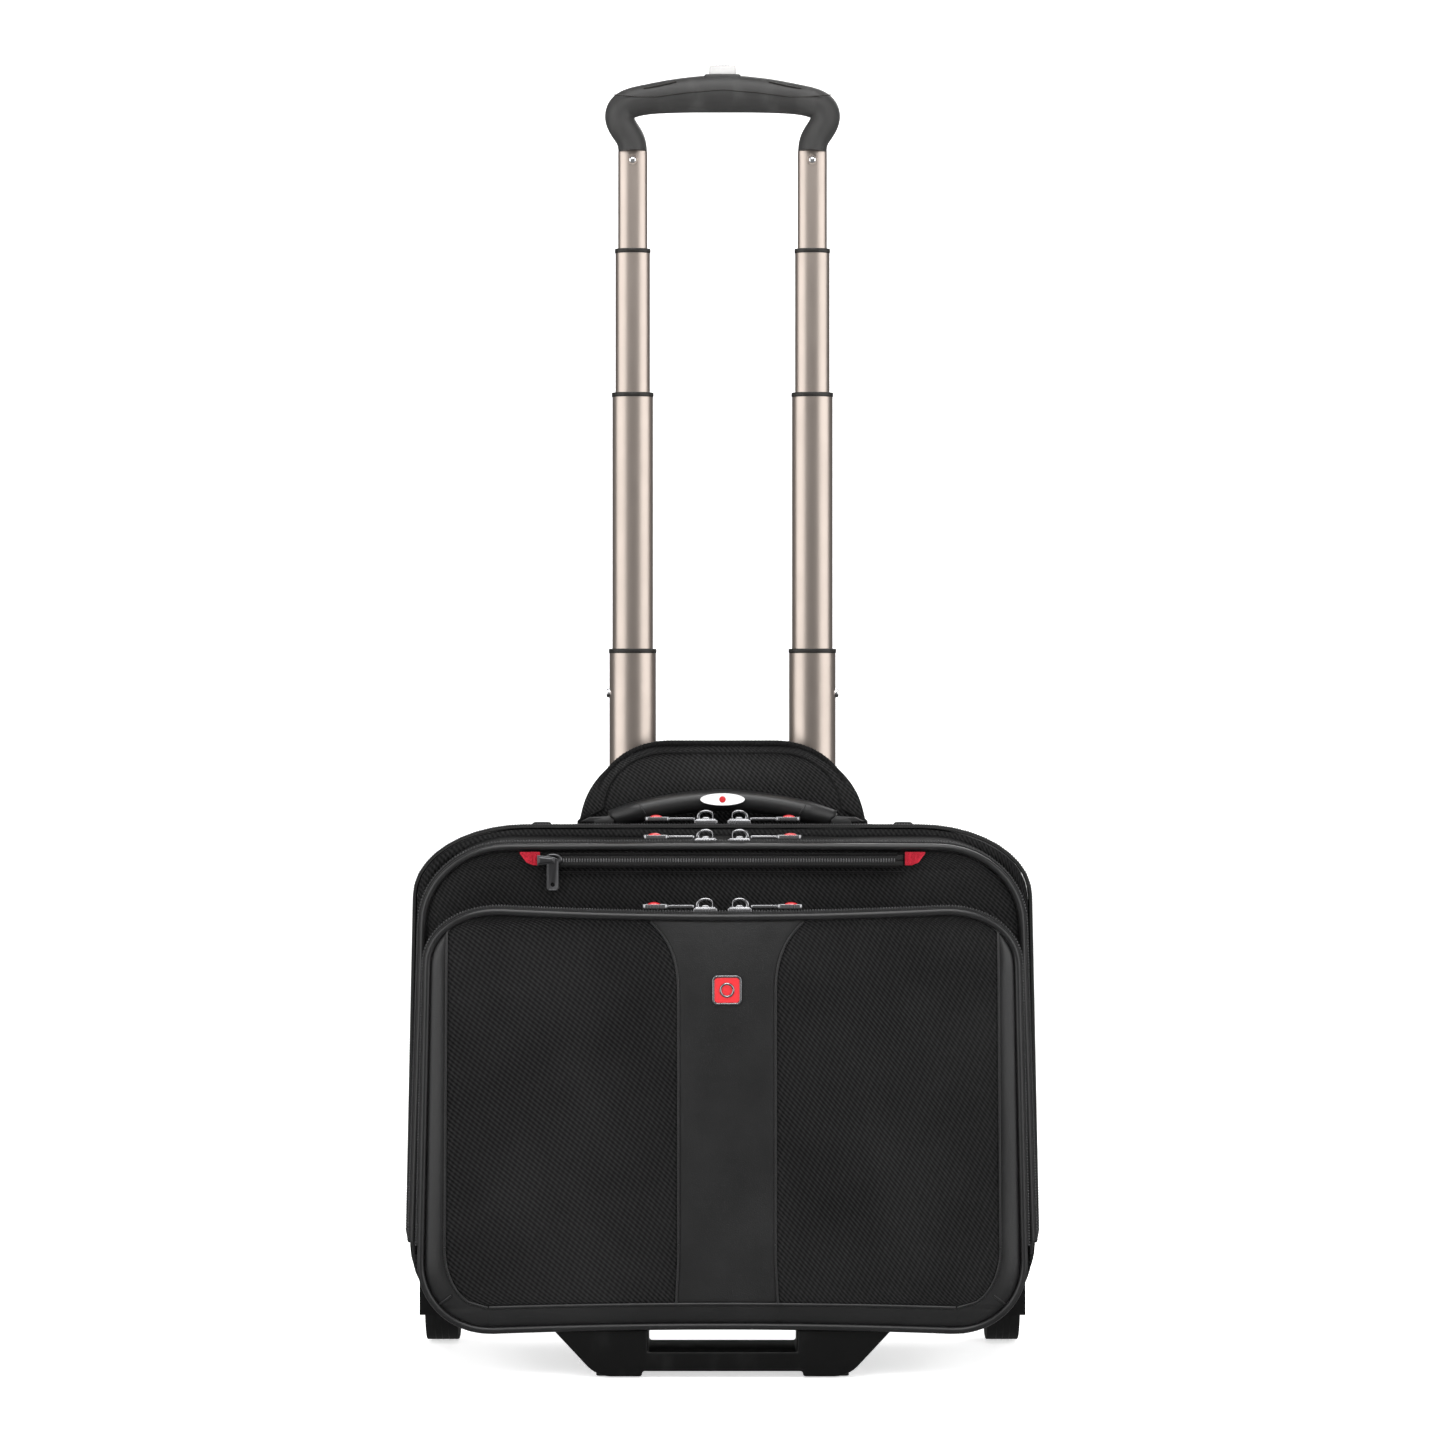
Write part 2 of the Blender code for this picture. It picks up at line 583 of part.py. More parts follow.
def build_sliders():
    organiser_y = FRONT_Y + LID_DEPTH + ZIP_HALF
    main_y = COVER_Y + COVER_DEPTH + ZIP_HALF
    rear_y = CENTRE_BACK_Y + GAP + ZIP_HALF
    for label, outline, y in (("organiser", ORGANISER, organiser_y), ("main", MAIN, main_y),
                              ("rear", REAR, rear_y)):
        for word, side in (("left", -1), ("right", 1)):
            build_top_slider(f"{label}_{word}", side, y, outline.z_top + GAP)
    build_slip_slider()


def build_rear_zip():
    start = CENTRE_BACK_Y + GAP
    band("zip_rear", REAR, ZIP_TOP, ZIP_TOP + ZIP_THICK, FOLD_Z, start, start + 2 * ZIP_HALF, ZIP)


# ---- the pull handle ----------------------------------------------------------------------
def ring_tube(name, x, outer, inner, z_low, z_high, material):
    """An oval tube seen from above, between two heights."""
    loops = [oval(*outer, x, TUBE_Y), oval(*inner, x, TUBE_Y)]
    return flat_solid(name, loops, PLAN, z_low, z_high, material)


def grown(size, by):
    return tuple(s + by for s in size)


def build_housing():
    """The fixed sleeves and the brackets that hold them in the handle bay."""
    sleeve_top = BRACKET_TOP - BRACKET_THICK - GAP
    for word, side in (("left", -1), ("right", 1)):
        ring_tube(f"tube_housing_{word}", side * TUBE_X, HOUSING_TUBE,
                  grown(HOUSING_TUBE, -2 * HOUSING_TUBE_WALL),
                  HOUSING_FOOT_Z, sleeve_top, ALUMINIUM)

    half_x, half_y = BRACKET_HALF
    low = BRACKET_TOP - BRACKET_THICK
    top = box("bracket_top", (-half_x, TUBE_Y - half_y, low), (half_x, TUBE_Y + half_y, BRACKET_TOP), PLASTIC)
    for side in (-1, 1):
        outline = oval(*grown(STAGE_TUBES[0], 2 * SLIDE_GAP), side * TUBE_X, TUBE_Y)
        hole = flat_solid(f"tube_hole_{side}", [outline], PLAN, low - MM, BRACKET_TOP + MM, None)
        boolean(top, as_mesh(hole))
        reach = STAGE_TUBES[0][0] / 2 + RIVET_PROUD + SLIDE_GAP
        xs = sorted((side * TUBE_X, side * (TUBE_X + reach)))
        boolean(top, box(f"rivet_notch_{side}", (xs[0], TUBE_Y - RIVET_R - MM, low - MM),
                         (xs[1], TUBE_Y + RIVET_R + MM, BRACKET_TOP + MM)))
    foot_half = BRACKET_FOOT_DEPTH / 2
    foot = box("bracket_foot", (-half_x, TUBE_Y - foot_half, HOUSING_FOOT_Z - GAP - 8 * MM),
               (half_x, TUBE_Y + foot_half, HOUSING_FOOT_Z - GAP), PLASTIC)
    bevel(foot, 1.5 * MM, 1)


def build_stage(number):
    """One moving pair of tubes, each with a collar lip at the top and a guide at the foot."""
    outer = STAGE_TUBES[number]
    parent = HOUSING_TUBE if number == 0 else STAGE_TUBES[number - 1]
    parent_wall = HOUSING_TUBE_WALL if number == 0 else TUBE_WALL
    top = STAGE_TOPS[number]
    low = top - STAGE_LENGTHS[number]
    last = number == len(STAGE_TUBES) - 1
    for word, side in (("left", -1), ("right", 1)):
        x = side * TUBE_X
        tube_top = top - (0 if last else 1.5 * MM)
        tube = as_mesh(ring_tube(f"stage_{number + 1}_{word}", x, outer, grown(outer, -2 * TUBE_WALL),
                                 low + 1.5 * MM, tube_top, ALUMINIUM))
        place(tube, ALUMINIUM)
        guide_outer = grown(parent, -2 * (parent_wall + SLIDE_GAP))
        guide = as_mesh(ring_tube(f"guide_{number}_{word}", x, guide_outer, grown(outer, -2.4 * TUBE_WALL),
                                  low, low + GUIDE_HEIGHT, PLASTIC))
        boolean(tube, guide, "UNION")
        if not last:
            inner = grown(STAGE_TUBES[number + 1], 2 * SLIDE_GAP)
            collar = as_mesh(ring_tube(f"collar_{number}_{word}", x, grown(outer, 2 * COLLAR_PROUD), inner,
                                       top - COLLAR_HEIGHT, top, PLASTIC))
            boolean(tube, collar, "UNION")
        if number == 0:
            bpy.ops.mesh.primitive_cylinder_add(
                vertices=12, radius=RIVET_R, depth=2.4 * MM,
                location=(x + side * (outer[0] / 2 + RIVET_PROUD - 1.2 * MM), TUBE_Y, RIVET_Z),
                rotation=(0, math.pi / 2, 0))
            rivet = bpy.context.object
            rivet.name = f"rivet_{word}"
            boolean(tube, rivet, "UNION")


def build_grip():
    """The moulded grip with its spigots in the top tubes, and the release button."""
    half = [(-TUBE_X - x * MM, STAGE_TOPS[3] + z * MM, r * MM) for x, z, r in GRIP_LINE]
    rise, radius = GRIP_MIDDLE
    line = half + [(0, STAGE_TOPS[3] + rise, radius)] + [(-x, z, r) for x, z, r in half[::-1]]
    grip = cord_curve("grip", [(x, z) for x, z, _ in line], [r for _, _, r in line], SOFT_GRIP,
                      sides=3, squash_y=GRIP_FLAT, y=TUBE_Y)
    grip = smooth(place(as_mesh(grip), SOFT_GRIP))
    bore = grown(STAGE_TUBES[3], -2 * TUBE_WALL - 2 * SLIDE_GAP)
    for side in (-1, 1):
        spigot = flat_solid(f"spigot_{side}", [oval(*bore, side * TUBE_X, TUBE_Y)], PLAN,
                            STAGE_TOPS[3] + SPIGOT_Z[0], STAGE_TOPS[3] + SPIGOT_Z[1], None)
        boolean(grip, as_mesh(spigot), "UNION")
    well_x, well_y = (h + GAP for h in BUTTON_HALF)
    floor = BUTTON_TOP - BUTTON_DEEP - SPRING_LENGTH - 2 * GAP
    boolean(grip, box("button_well", (-well_x, TUBE_Y - well_y, floor),
                      (well_x, TUBE_Y + well_y, BUTTON_TOP + 9 * MM)))
    half_x, half_y = BUTTON_HALF
    button = box("release_button", (-half_x, TUBE_Y - half_y, BUTTON_TOP - BUTTON_DEEP),
                 (half_x, TUBE_Y + half_y, BUTTON_TOP), CHROME)
    bevel(button, 1.5 * MM, 2)

    data = bpy.data.curves.new("button_spring", "CURVE")
    data.dimensions = "3D"
    data.bevel_depth = SPRING_WIRE
    data.bevel_resolution = 1
    data.use_fill_caps = True
    count = SPRING_TURNS * SPRING_SIDES + 1
    spline = data.splines.new("POLY")
    spline.points.add(count - 1)
    rise = SPRING_LENGTH - 2 * SPRING_WIRE
    for i, point in enumerate(spline.points):
        turn = 2 * math.pi * i / SPRING_SIDES
        point.co = (SPRING_RADIUS * math.cos(turn), SPRING_RADIUS * math.sin(turn), rise * i / (count - 1), 1)
    spring = place(bpy.data.objects.new("button_spring", data), CHROME)
    spring.location = (0, TUBE_Y, floor + GAP + SPRING_WIRE)


# ---- the hump, the carry handle and the studs ---------------------------------------------


def build_hump():
    """The padded panels that stand on the top and hide the stowed grip."""
    line = HUMP.arch(HUMP.z_bottom)
    flat_solid("hump_front_panel", [line], FRONT, *HUMP_FRONT_Y, NYLON)
    flat_solid("hump_back_panel", [line], FRONT, *HUMP_BACK_Y, NYLON)


def build_carry_handle():
    """The padded bar with its badge, and the two anchors that it swings between."""
    half = [(x * MM, CASE_TOP + z * MM) for x, z in HANDLE_LINE]
    line = half + [(0, HANDLE_CREST)] + [(-x, z) for x, z in half[::-1]]
    end = half[0][0]
    radii = [HANDLE_R * (HANDLE_NECK if abs(x) == -end else 1) for x, _ in line]
    cord_curve("carry_handle", line, radii, VINYL, sides=2, squash_y=HANDLE_FLAT, y=HANDLE_Y)
    half_x, half_z, depth = HANDLE_BADGE
    front = HANDLE_Y - HANDLE_FLAT * HANDLE_R - GAP - depth / 2 - 0.1 * MM
    bpy.ops.mesh.primitive_cylinder_add(
        vertices=20, radius=1, depth=depth, location=(0, front, HANDLE_CREST), rotation=(math.pi / 2, 0, 0))
    badge = bpy.context.object
    badge.name = "handle_badge"
    badge.data.transform(Matrix.Diagonal((half_x, half_z, 1, 1)))
    place(badge, BADGE_WHITE)
    for word, side in (("left", -1), ("right", 1)):
        near = ANCHOR_GAP - end
        xs = sorted((side * near, side * (near + ANCHOR_LENGTH)))
        low = CASE_TOP + GAP
        anchor = box(f"handle_anchor_{word}", (xs[0], HANDLE_Y - ANCHOR_DEPTH / 2, low),
                     (xs[1], HANDLE_Y + ANCHOR_DEPTH / 2, low + ANCHOR_HEIGHT), VINYL)
        bevel(anchor, 2.5 * MM, 2)


# ---- the front foot and the wheels --------------------------------------------------------


def build_front_foot():
    """The moulded foot: two legs joined by a grab bar, open above the bar."""
    r = FOOT_SLOT_R
    s = FOOT_SLOT_HALF
    half = [(s, FOOT_TOP), (s, FOOT_SLOT_Z + r), (s - 0.3 * r, FOOT_SLOT_Z + 0.3 * r), (s - r, FOOT_SLOT_Z)]
    outside = [(47 * MM, FOOT_RELIEF), (50 * MM, 0), (74 * MM, 0), (80 * MM, 1.2 * MM), (85 * MM, 4 * MM),
               (114 * MM, FOOT_TOP)]
    loop = [(-x, z) for x, z in outside[::-1]] + outside + half + [(-x, z) for x, z in half[::-1]]
    foot = as_mesh(flat_solid("front_foot", [loop], FRONT, *FOOT_Y, PLASTIC))
    place(foot, PLASTIC)
    boolean(foot, box("behind_bar", (-s + 0.2 * MM, FOOT_Y[0] + FOOT_BAR_DEPTH, -5 * MM),
                      (s - 0.2 * MM, FOOT_Y[1] + 5 * MM, FOOT_TOP + 5 * MM)))


def build_wheel(word, side):
    """A tyre on its hub, the axle and the housing that carries it."""
    x = side * WHEEL_X
    centre = (x, WHEEL_Y, WHEEL_R)
    half = TYRE_WIDTH / 2
    crown = [(WHEEL_R - 5 * MM * (abs(k) / 4) ** 2, half * k / 4) for k in range(4, -5, -1)]
    seat = [(TYRE_SEAT_R + GAP, -half + MM), (TYRE_SEAT_R + GAP, half - MM)]
    tyre = smooth(turned(f"tyre_{word}", crown + seat, centre, RUBBER))
    fix_direction(tyre)
    hub_half = HUB_WIDTH / 2
    hub_profile = [(TYRE_SEAT_R, hub_half), (TYRE_SEAT_R, -hub_half), (AXLE_R + AXLE_CLEARANCE, -hub_half),
                   (AXLE_R + AXLE_CLEARANCE, hub_half)]
    hub = smooth(turned(f"hub_{word}", hub_profile, centre, PLASTIC))
    fix_direction(hub)

    wall_inner = half + HOUSING_SIDE_GAP
    wall_outer = wall_inner + HOUSING_WALL
    head_r, head = AXLE_HEAD
    reach = wall_outer + GAP
    axle_profile = [(0, reach + head), (head_r, reach + head), (head_r, reach), (AXLE_R, reach),
                    (AXLE_R, -reach), (head_r, -reach), (head_r, -reach - head), (0, -reach - head)]
    axle = smooth(turned(f"axle_{word}", axle_profile, centre, CHROME, steps=24))
    fix_direction(axle)

    y0, y1 = HOUSING_Y
    z0, z1 = HOUSING_Z
    wall = HOUSING_WALL
    cut = HOUSING_CHAMFER
    shape = [(y0, z0), (y1, z0), (y1, z1 - cut), (y1 - 0.3 * cut, z1 - 0.3 * cut), (y1 - cut, z1), (y0, z1)]
    hollow = [(y0 + wall, z0 - 5 * MM), (y1 + 5 * MM, z0 - 5 * MM), (y1 + 5 * MM, z1 - cut - 10 * MM),
              (y1 - wall, z1 - cut), (y1 - 0.3 * cut - 1.4 * MM, z1 - 0.3 * cut - 1.4 * MM),
              (y1 - cut, z1 - wall), (y0 + wall, z1 - wall)]
    housing = as_mesh(flat_solid(f"wheel_housing_{word}", [shape], SIDE,
                                 x - wall_outer, x + wall_outer, None))
    place(housing, PLASTIC)
    boolean(housing, as_mesh(flat_solid(f"housing_hollow_{word}", [hollow], SIDE,
                                        x - wall_inner, x + wall_inner, None)))
    bpy.ops.mesh.primitive_cylinder_add(vertices=24, radius=AXLE_R + GAP, depth=2 * wall_outer + 4 * MM,
                                        location=centre, rotation=(0, math.pi / 2, 0))
    hole = bpy.context.object
    hole.name = f"axle_hole_{word}"
    boolean(housing, hole)


def fix_direction(obj):
    """Turns the spun surface round where its profile ran the wrong way."""
    bpy.context.view_layer.update()
    graph = bpy.context.evaluated_depsgraph_get()
    mesh = obj.evaluated_get(graph).to_mesh()
    bm = bmesh.new()
    bm.from_mesh(mesh)
    volume = bm.calc_volume(signed=True)
    bm.free()
    obj.evaluated_get(graph).to_mesh_clear()
    obj.modifiers["spin"].use_normal_flip = volume < 0


def hang(name, at, *objects):
    """An empty on a joint's axis, which carries the pieces that move with that joint."""
    empty = bpy.data.objects.new(name, None)
    empty.empty_display_size = 0.02
    empty.location = at
    CASE.objects.link(empty)
    for obj in objects:
        obj.parent = empty
        obj.matrix_parent_inverse = Matrix.Translation(at).inverted()
    return empty


def hang_moving_pieces():
    """Puts every moving piece under an empty on its joint, in the order that they carry each other."""
    def found(*names):
        return [bpy.data.objects[name] for name in names]

    lid_pieces = found("organiser_lid_panel", "zip_organiser", "lid_piping", "front_badge")
    cover_pieces = found("main_cover_panel", "zip_main", "organiser_gusset", "cover_piping",
                         "zip_slip_pocket")
    riders = {"organiser": lid_pieces, "main": cover_pieces, "rear": []}
    for label, pieces in riders.items():
        for word, side in (("left", -1), ("right", 1)):
            slider, pull = found(f"{label}_{word}_slider", f"{label}_{word}_pull")
            outline = {"organiser": ORGANISER, "main": MAIN, "rear": REAR}[label]
            x = side * (SLIDER_X + SLIDER_LENGTH / 2 + PULL_GAP + PULL_THICK / 2)
            z = outline.z_top + GAP + PULL_LIFT + PULL_THICK / 2
            swing = hang(f"{label}_{word}_pull_axis", (x, slider.location.y, z), pull)
            pieces.append(hang(f"{label}_{word}_slide_axis", slider.location, slider, swing))
    slider, pull = found("slip_slider", "slip_pull")
    swing = hang("slip_pull_axis", (SLIP_X[0], SLIP_PULL_Y, SLIP_PULL_TOP - SLIP_PULL_THICK / 2), pull)
    cover_pieces.append(hang("slip_slide_axis", slider.location, slider, swing))
    fold = (0, HINGE_Y, FOLD_Z)
    hang("main_cover_fold_axis", fold, *cover_pieces, hang("organiser_lid_fold_axis", fold, *lid_pieces))

    carried = found("grip", "release_button", "button_spring")
    for number in (4, 3, 2, 1):
        tubes = found(f"stage_{number}_left", f"stage_{number}_right")
        at = (0, TUBE_Y, STAGE_TOPS[number - 1] - STAGE_LENGTHS[number - 1])
        carried = [hang(f"stage_{number}_slide_axis", at, *tubes, *carried)]
    hang("carry_handle_axis", (0, HANDLE_Y, HANDLE_PIVOT_Z), *found("carry_handle", "handle_badge"))
    for word, side in (("left", -1), ("right", 1)):
        at = (side * WHEEL_X, WHEEL_Y, WHEEL_R)
        hang(f"wheel_{word}_axis", at, *found(f"tyre_{word}", f"hub_{word}"))


build_case_shell()
build_rear_zip()
build_main_cover()
build_slip_pocket()
build_organiser_lid()
build_sliders()
build_housing()
for stage in range(4):
    build_stage(stage)
build_grip()
build_hump()
build_carry_handle()
build_front_foot()
for word, side in (("left", -1), ("right", 1)):
    build_wheel(word, side)
hang_moving_pieces()
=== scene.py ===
"""The looks of a rolling pilot case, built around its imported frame.

Soft goods are swept and simulated cloth, hard goods are modelled at the bench with Blender's
operators, and every finish is a procedural material.  Lengths are in metres.
"""

import json
import logging
import math
from collections.abc import Callable, Iterable, Sequence
from contextlib import contextmanager
from dataclasses import dataclass, field, replace
from enum import Enum

import bmesh
import bpy
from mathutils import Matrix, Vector, noise

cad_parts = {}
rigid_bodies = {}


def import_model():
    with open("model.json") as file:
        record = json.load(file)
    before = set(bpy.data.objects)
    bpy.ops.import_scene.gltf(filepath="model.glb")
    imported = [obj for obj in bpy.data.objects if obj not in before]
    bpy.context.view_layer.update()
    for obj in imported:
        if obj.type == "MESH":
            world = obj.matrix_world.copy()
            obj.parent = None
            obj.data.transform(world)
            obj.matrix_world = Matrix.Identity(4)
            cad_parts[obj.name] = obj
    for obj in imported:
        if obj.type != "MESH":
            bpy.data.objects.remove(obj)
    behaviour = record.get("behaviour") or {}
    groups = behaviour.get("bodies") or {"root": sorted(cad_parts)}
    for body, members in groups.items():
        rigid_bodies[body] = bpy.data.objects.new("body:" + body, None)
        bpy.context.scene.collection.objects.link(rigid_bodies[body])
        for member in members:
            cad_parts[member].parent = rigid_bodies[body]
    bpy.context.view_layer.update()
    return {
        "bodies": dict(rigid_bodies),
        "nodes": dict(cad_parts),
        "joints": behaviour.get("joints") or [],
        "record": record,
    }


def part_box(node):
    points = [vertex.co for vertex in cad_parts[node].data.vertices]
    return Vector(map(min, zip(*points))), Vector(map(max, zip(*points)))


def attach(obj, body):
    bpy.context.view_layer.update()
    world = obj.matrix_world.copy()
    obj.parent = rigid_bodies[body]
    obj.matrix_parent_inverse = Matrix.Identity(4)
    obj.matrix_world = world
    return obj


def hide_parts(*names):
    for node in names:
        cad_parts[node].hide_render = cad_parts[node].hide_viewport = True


LOG = logging.getLogger("pilot_case")
MM = 0.001
QUARTER = math.pi / 2
TO_FRONT = (QUARTER, 0, 0)
TO_SIDE = (0, QUARTER, 0)
Point = tuple[float, float]
Colour = tuple[float, float, float]
Test = Callable[[Vector, Vector], bool]


class Word(str, Enum):
    """The two sides of the case, as its frame names them."""

    LEFT = "left"
    RIGHT = "right"

    @property
    def sign(self) -> int:
        """-1 on the left, 1 on the right."""
        return -1 if self is Word.LEFT else 1


# ---- materials ----------------------------------------------------------------------------
class Shade:
    """A shader socket that can be used in arithmetic."""

    def __init__(self, paint: "Paint", socket: bpy.types.NodeSocket) -> None:
        """Keeps the socket with the paint that it belongs to."""
        self.paint = paint
        self.socket = socket

    def _maths(self, operation: str, *values: "Shade | float") -> "Shade":
        """Adds a Math node over the given values."""
        return self.paint.node("ShaderNodeMath", {"operation": operation}, dict(enumerate(values)))

    def __add__(self, other: "Shade | float") -> "Shade":
        """Sum."""
        return self._maths("ADD", self, other)

    def __radd__(self, other: float) -> "Shade":
        """Sum, reflected."""
        return self._maths("ADD", other, self)

    def __sub__(self, other: "Shade | float") -> "Shade":
        """Difference."""
        return self._maths("SUBTRACT", self, other)

    def __rsub__(self, other: float) -> "Shade":
        """Difference, reflected."""
        return self._maths("SUBTRACT", other, self)

    def __mul__(self, other: "Shade | float") -> "Shade":
        """Product."""
        return self._maths("MULTIPLY", self, other)

    def __rmul__(self, other: float) -> "Shade":
        """Product, reflected."""
        return self._maths("MULTIPLY", other, self)

    def wave(self) -> "Shade":
        """A sine between 0 and 1."""
        return self._maths("SINE", self) * 0.5 + 0.5

    def above(self, edge: float, soft: float = 0.1) -> "Shade":
        """Nearly 1 where the value is over edge, nearly 0 where it's under."""
        return self.paint.node("ShaderNodeMapRange", {"interpolation_type": "SMOOTHSTEP"},
                               {0: self, 1: edge - soft, 2: edge + soft, 3: 0.0, 4: 1.0})


class Paint:
    """A material under construction."""

    def __init__(self, name: str) -> None:
        """Starts a node material with a bare Principled shader."""
        self.material = bpy.data.materials.new(name)
        self.material.use_nodes = True
        self.tree = self.material.node_tree
        self.shader = self.tree.nodes["Principled BSDF"]

    def node(self, kind: str, settings: dict, sockets: dict, output: int | str = 0) -> Shade:
        """Adds one node.

        Args:
            kind: The node's type.
            settings: Its properties, set before its sockets.
            sockets: Values or links by socket index or name.
            output: The output to hand on.

        Returns:
            The chosen output.
        """
        made = self.tree.nodes.new(kind)
        for key, value in settings.items():
            setattr(made, key, value)
        for key, value in sockets.items():
            self.feed(made.inputs[key], value)
        return Shade(self, made.outputs[output])

    def feed(self, socket: bpy.types.NodeSocket, value: "Shade | float | tuple") -> None:
        """Links a shade to a socket, or sets the socket's value."""
        if isinstance(value, Shade):
            self.tree.links.new(value.socket, socket)
        else:
            socket.default_value = value

    def axes(self, from_uv: bool, scale: float = 1000.0) -> list[Shade]:
        """The surface's coordinates in millimetres, from its UV map or from object space."""
        coordinates = self.node("ShaderNodeTexCoord", {}, {}, "UV" if from_uv else "Object")
        sized = self.node("ShaderNodeVectorMath", {"operation": "SCALE"},
                          {0: coordinates, "Scale": scale})
        return [self.node("ShaderNodeSeparateXYZ", {}, {0: sized}, axis) for axis in range(3)]

    def grain(self, scale: float, detail: float = 3.0, stretch: tuple = (1, 1, 1)) -> Shade:
        """Noise in object space, with features of about 1/scale metres."""
        place = self.node("ShaderNodeTexCoord", {}, {}, "Object")
        turned = self.node("ShaderNodeMapping", {}, {"Vector": place, "Scale": stretch})
        return self.node("ShaderNodeTexNoise", {},
                         {"Vector": turned, "Scale": scale, "Detail": detail})

    def cells(self, scale: float) -> Shade:
        """The distance within a cell pattern in object space."""
        place = self.node("ShaderNodeTexCoord", {}, {}, "Object")
        return self.node("ShaderNodeTexVoronoi", {}, {"Vector": place, "Scale": scale})

    def blend(self, share: "Shade | float", low: tuple, high: tuple) -> Shade:
        """A colour between two colours."""
        return self.node("ShaderNodeMix", {"data_type": "RGBA"},
                         {0: share, 6: (*low, 1.0), 7: (*high, 1.0)}, 2)

    def bump(self, height: Shade, strength: float, distance: float) -> None:
        """Feeds a height to the shader's normal."""
        made = self.node("ShaderNodeBump", {},
                         {"Height": height, "Strength": strength, "Distance": distance}, "Normal")
        self.feed(self.shader.inputs["Normal"], made)

    def coat(self, **sockets: "Shade | float | tuple") -> "Paint":
        """Sets the shader's sockets by name, with underscores for spaces."""
        for key, value in sockets.items():
            self.feed(self.shader.inputs[key.replace("_", " ")], value)
        return self


@dataclass(frozen=True)
class Twill:
    """Ballistic nylon in a diagonal twill, laid by the surface's UV map."""

    name: str
    dark: Colour
    light: Colour
    pitch: float = 1.25
    roughness: float = 0.72

    def make(self) -> bpy.types.Material:
        """Builds the material."""
        paint = Paint(self.name)
        u, v, _ = paint.axes(True)
        turn = math.tau / self.pitch
        ribs = ((u + v) * turn).wave()
        threads = ((u - v * 0.35) * (turn * 0.8)).wave()
        weave = ribs * 0.72 + threads * 0.28
        cloudy = paint.grain(14, 2)
        share = weave * 0.75 + (cloudy - 0.5) * 0.5
        paint.coat(Base_Color=paint.blend(share, self.dark, self.light),
                   Roughness=self.roughness + (0.5 - weave) * 0.16, Specular_IOR_Level=0.11)
        paint.bump(weave * 0.9 + paint.grain(900, 2) * 0.35, 0.85, 0.0005)
        return paint.material


@dataclass(frozen=True)
class Vinyl:
    """Smooth coated vinyl with a fine leather grain."""

    name: str
    colour: Colour
    roughness: float = 0.4
    grain: float = 0.35

    def make(self) -> bpy.types.Material:
        """Builds the material."""
        paint = Paint(self.name)
        pores = paint.cells(1100)
        cloudy = paint.grain(30, 3)
        worn = tuple(c * 1.5 for c in self.colour)
        paint.coat(Base_Color=paint.blend(cloudy.above(0.55, 0.25) * 0.6, self.colour, worn),
                   Roughness=self.roughness + (cloudy - 0.5) * 0.18 + (0.5 - pores) * 0.05,
                   Specular_IOR_Level=0.45)
        paint.bump(pores + paint.grain(260, 3) * 0.8, self.grain, 0.00018)
        return paint.material


@dataclass(frozen=True)
class Moulded:
    """Moulded plastic or rubber with a spark-eroded texture."""

    name: str
    colour: Colour
    roughness: float
    texture: float = 0.25

    def make(self) -> bpy.types.Material:
        """Builds the material."""
        paint = Paint(self.name)
        fine = paint.grain(1500, 2)
        scuffs = paint.grain(70, 4, (1, 1, 0.35))
        scuffed = tuple(c * 1.7 + 0.004 for c in self.colour)
        paint.coat(Base_Color=paint.blend(scuffs.above(0.62, 0.12) * 0.5, self.colour, scuffed),
                   Roughness=self.roughness + (scuffs - 0.5) * 0.2 + (fine - 0.5) * 0.1,
                   Specular_IOR_Level=0.25)
        paint.bump(fine, self.texture, 0.00012)
        return paint.material


@dataclass(frozen=True)
class Metal:
    """Bare, plated or anodised metal, drawn along Z where it's streaked."""

    name: str
    colour: Colour
    roughness: float
    streaks: float = 0.0

    def make(self) -> bpy.types.Material:
        """Builds the material."""
        paint = Paint(self.name)
        drawn = paint.grain(2200, 2, (1, 1, 0.012))
        cloudy = paint.grain(45, 3)
        dull = tuple(c * 0.82 for c in self.colour)
        paint.coat(Base_Color=paint.blend((cloudy - 0.5) * 0.5 + drawn * (0.6 * self.streaks),
                                          self.colour, dull),
                   Metallic=1.0,
                   Roughness=(self.roughness + (cloudy - 0.5) * 0.08
                              + (drawn - 0.5) * (0.25 * self.streaks)))
        paint.bump(drawn * self.streaks + cloudy * 0.1, 0.12, 0.00008)
        return paint.material


@dataclass(frozen=True)
class Enamel:
    """Glossy enamel with a faint orange peel."""

    name: str
    colour: Colour
    roughness: float = 0.22

    def make(self) -> bpy.types.Material:
        """Builds the material."""
        paint = Paint(self.name)
        peel = paint.grain(500, 2)
        deep = tuple(c * 0.8 for c in self.colour)
        paint.coat(Base_Color=paint.blend(peel, self.colour, deep),
                   Roughness=self.roughness + (peel - 0.5) * 0.12, Coat_Weight=0.5,
                   Coat_Roughness=0.1)
        paint.bump(peel, 0.1, 0.0001)
        return paint.material


@dataclass(frozen=True)
class Tape:
    """Zip tape and small woven trim, with a herringbone across its UV map."""

    name: str
    dark: Colour
    light: Colour

    def make(self) -> bpy.types.Material:
        """Builds the material."""
        paint = Paint(self.name)
        u, v, _ = paint.axes(True)
        bones = ((u * 5.2) + (v * 2.4).wave() * 3.0).wave()
        paint.coat(Base_Color=paint.blend(bones, self.dark, self.light),
                   Roughness=0.75 + (0.5 - bones) * 0.15, Specular_IOR_Level=0.25)
        paint.bump(bones + paint.grain(1200, 2) * 0.4, 0.5, 0.00025)
        return paint.material


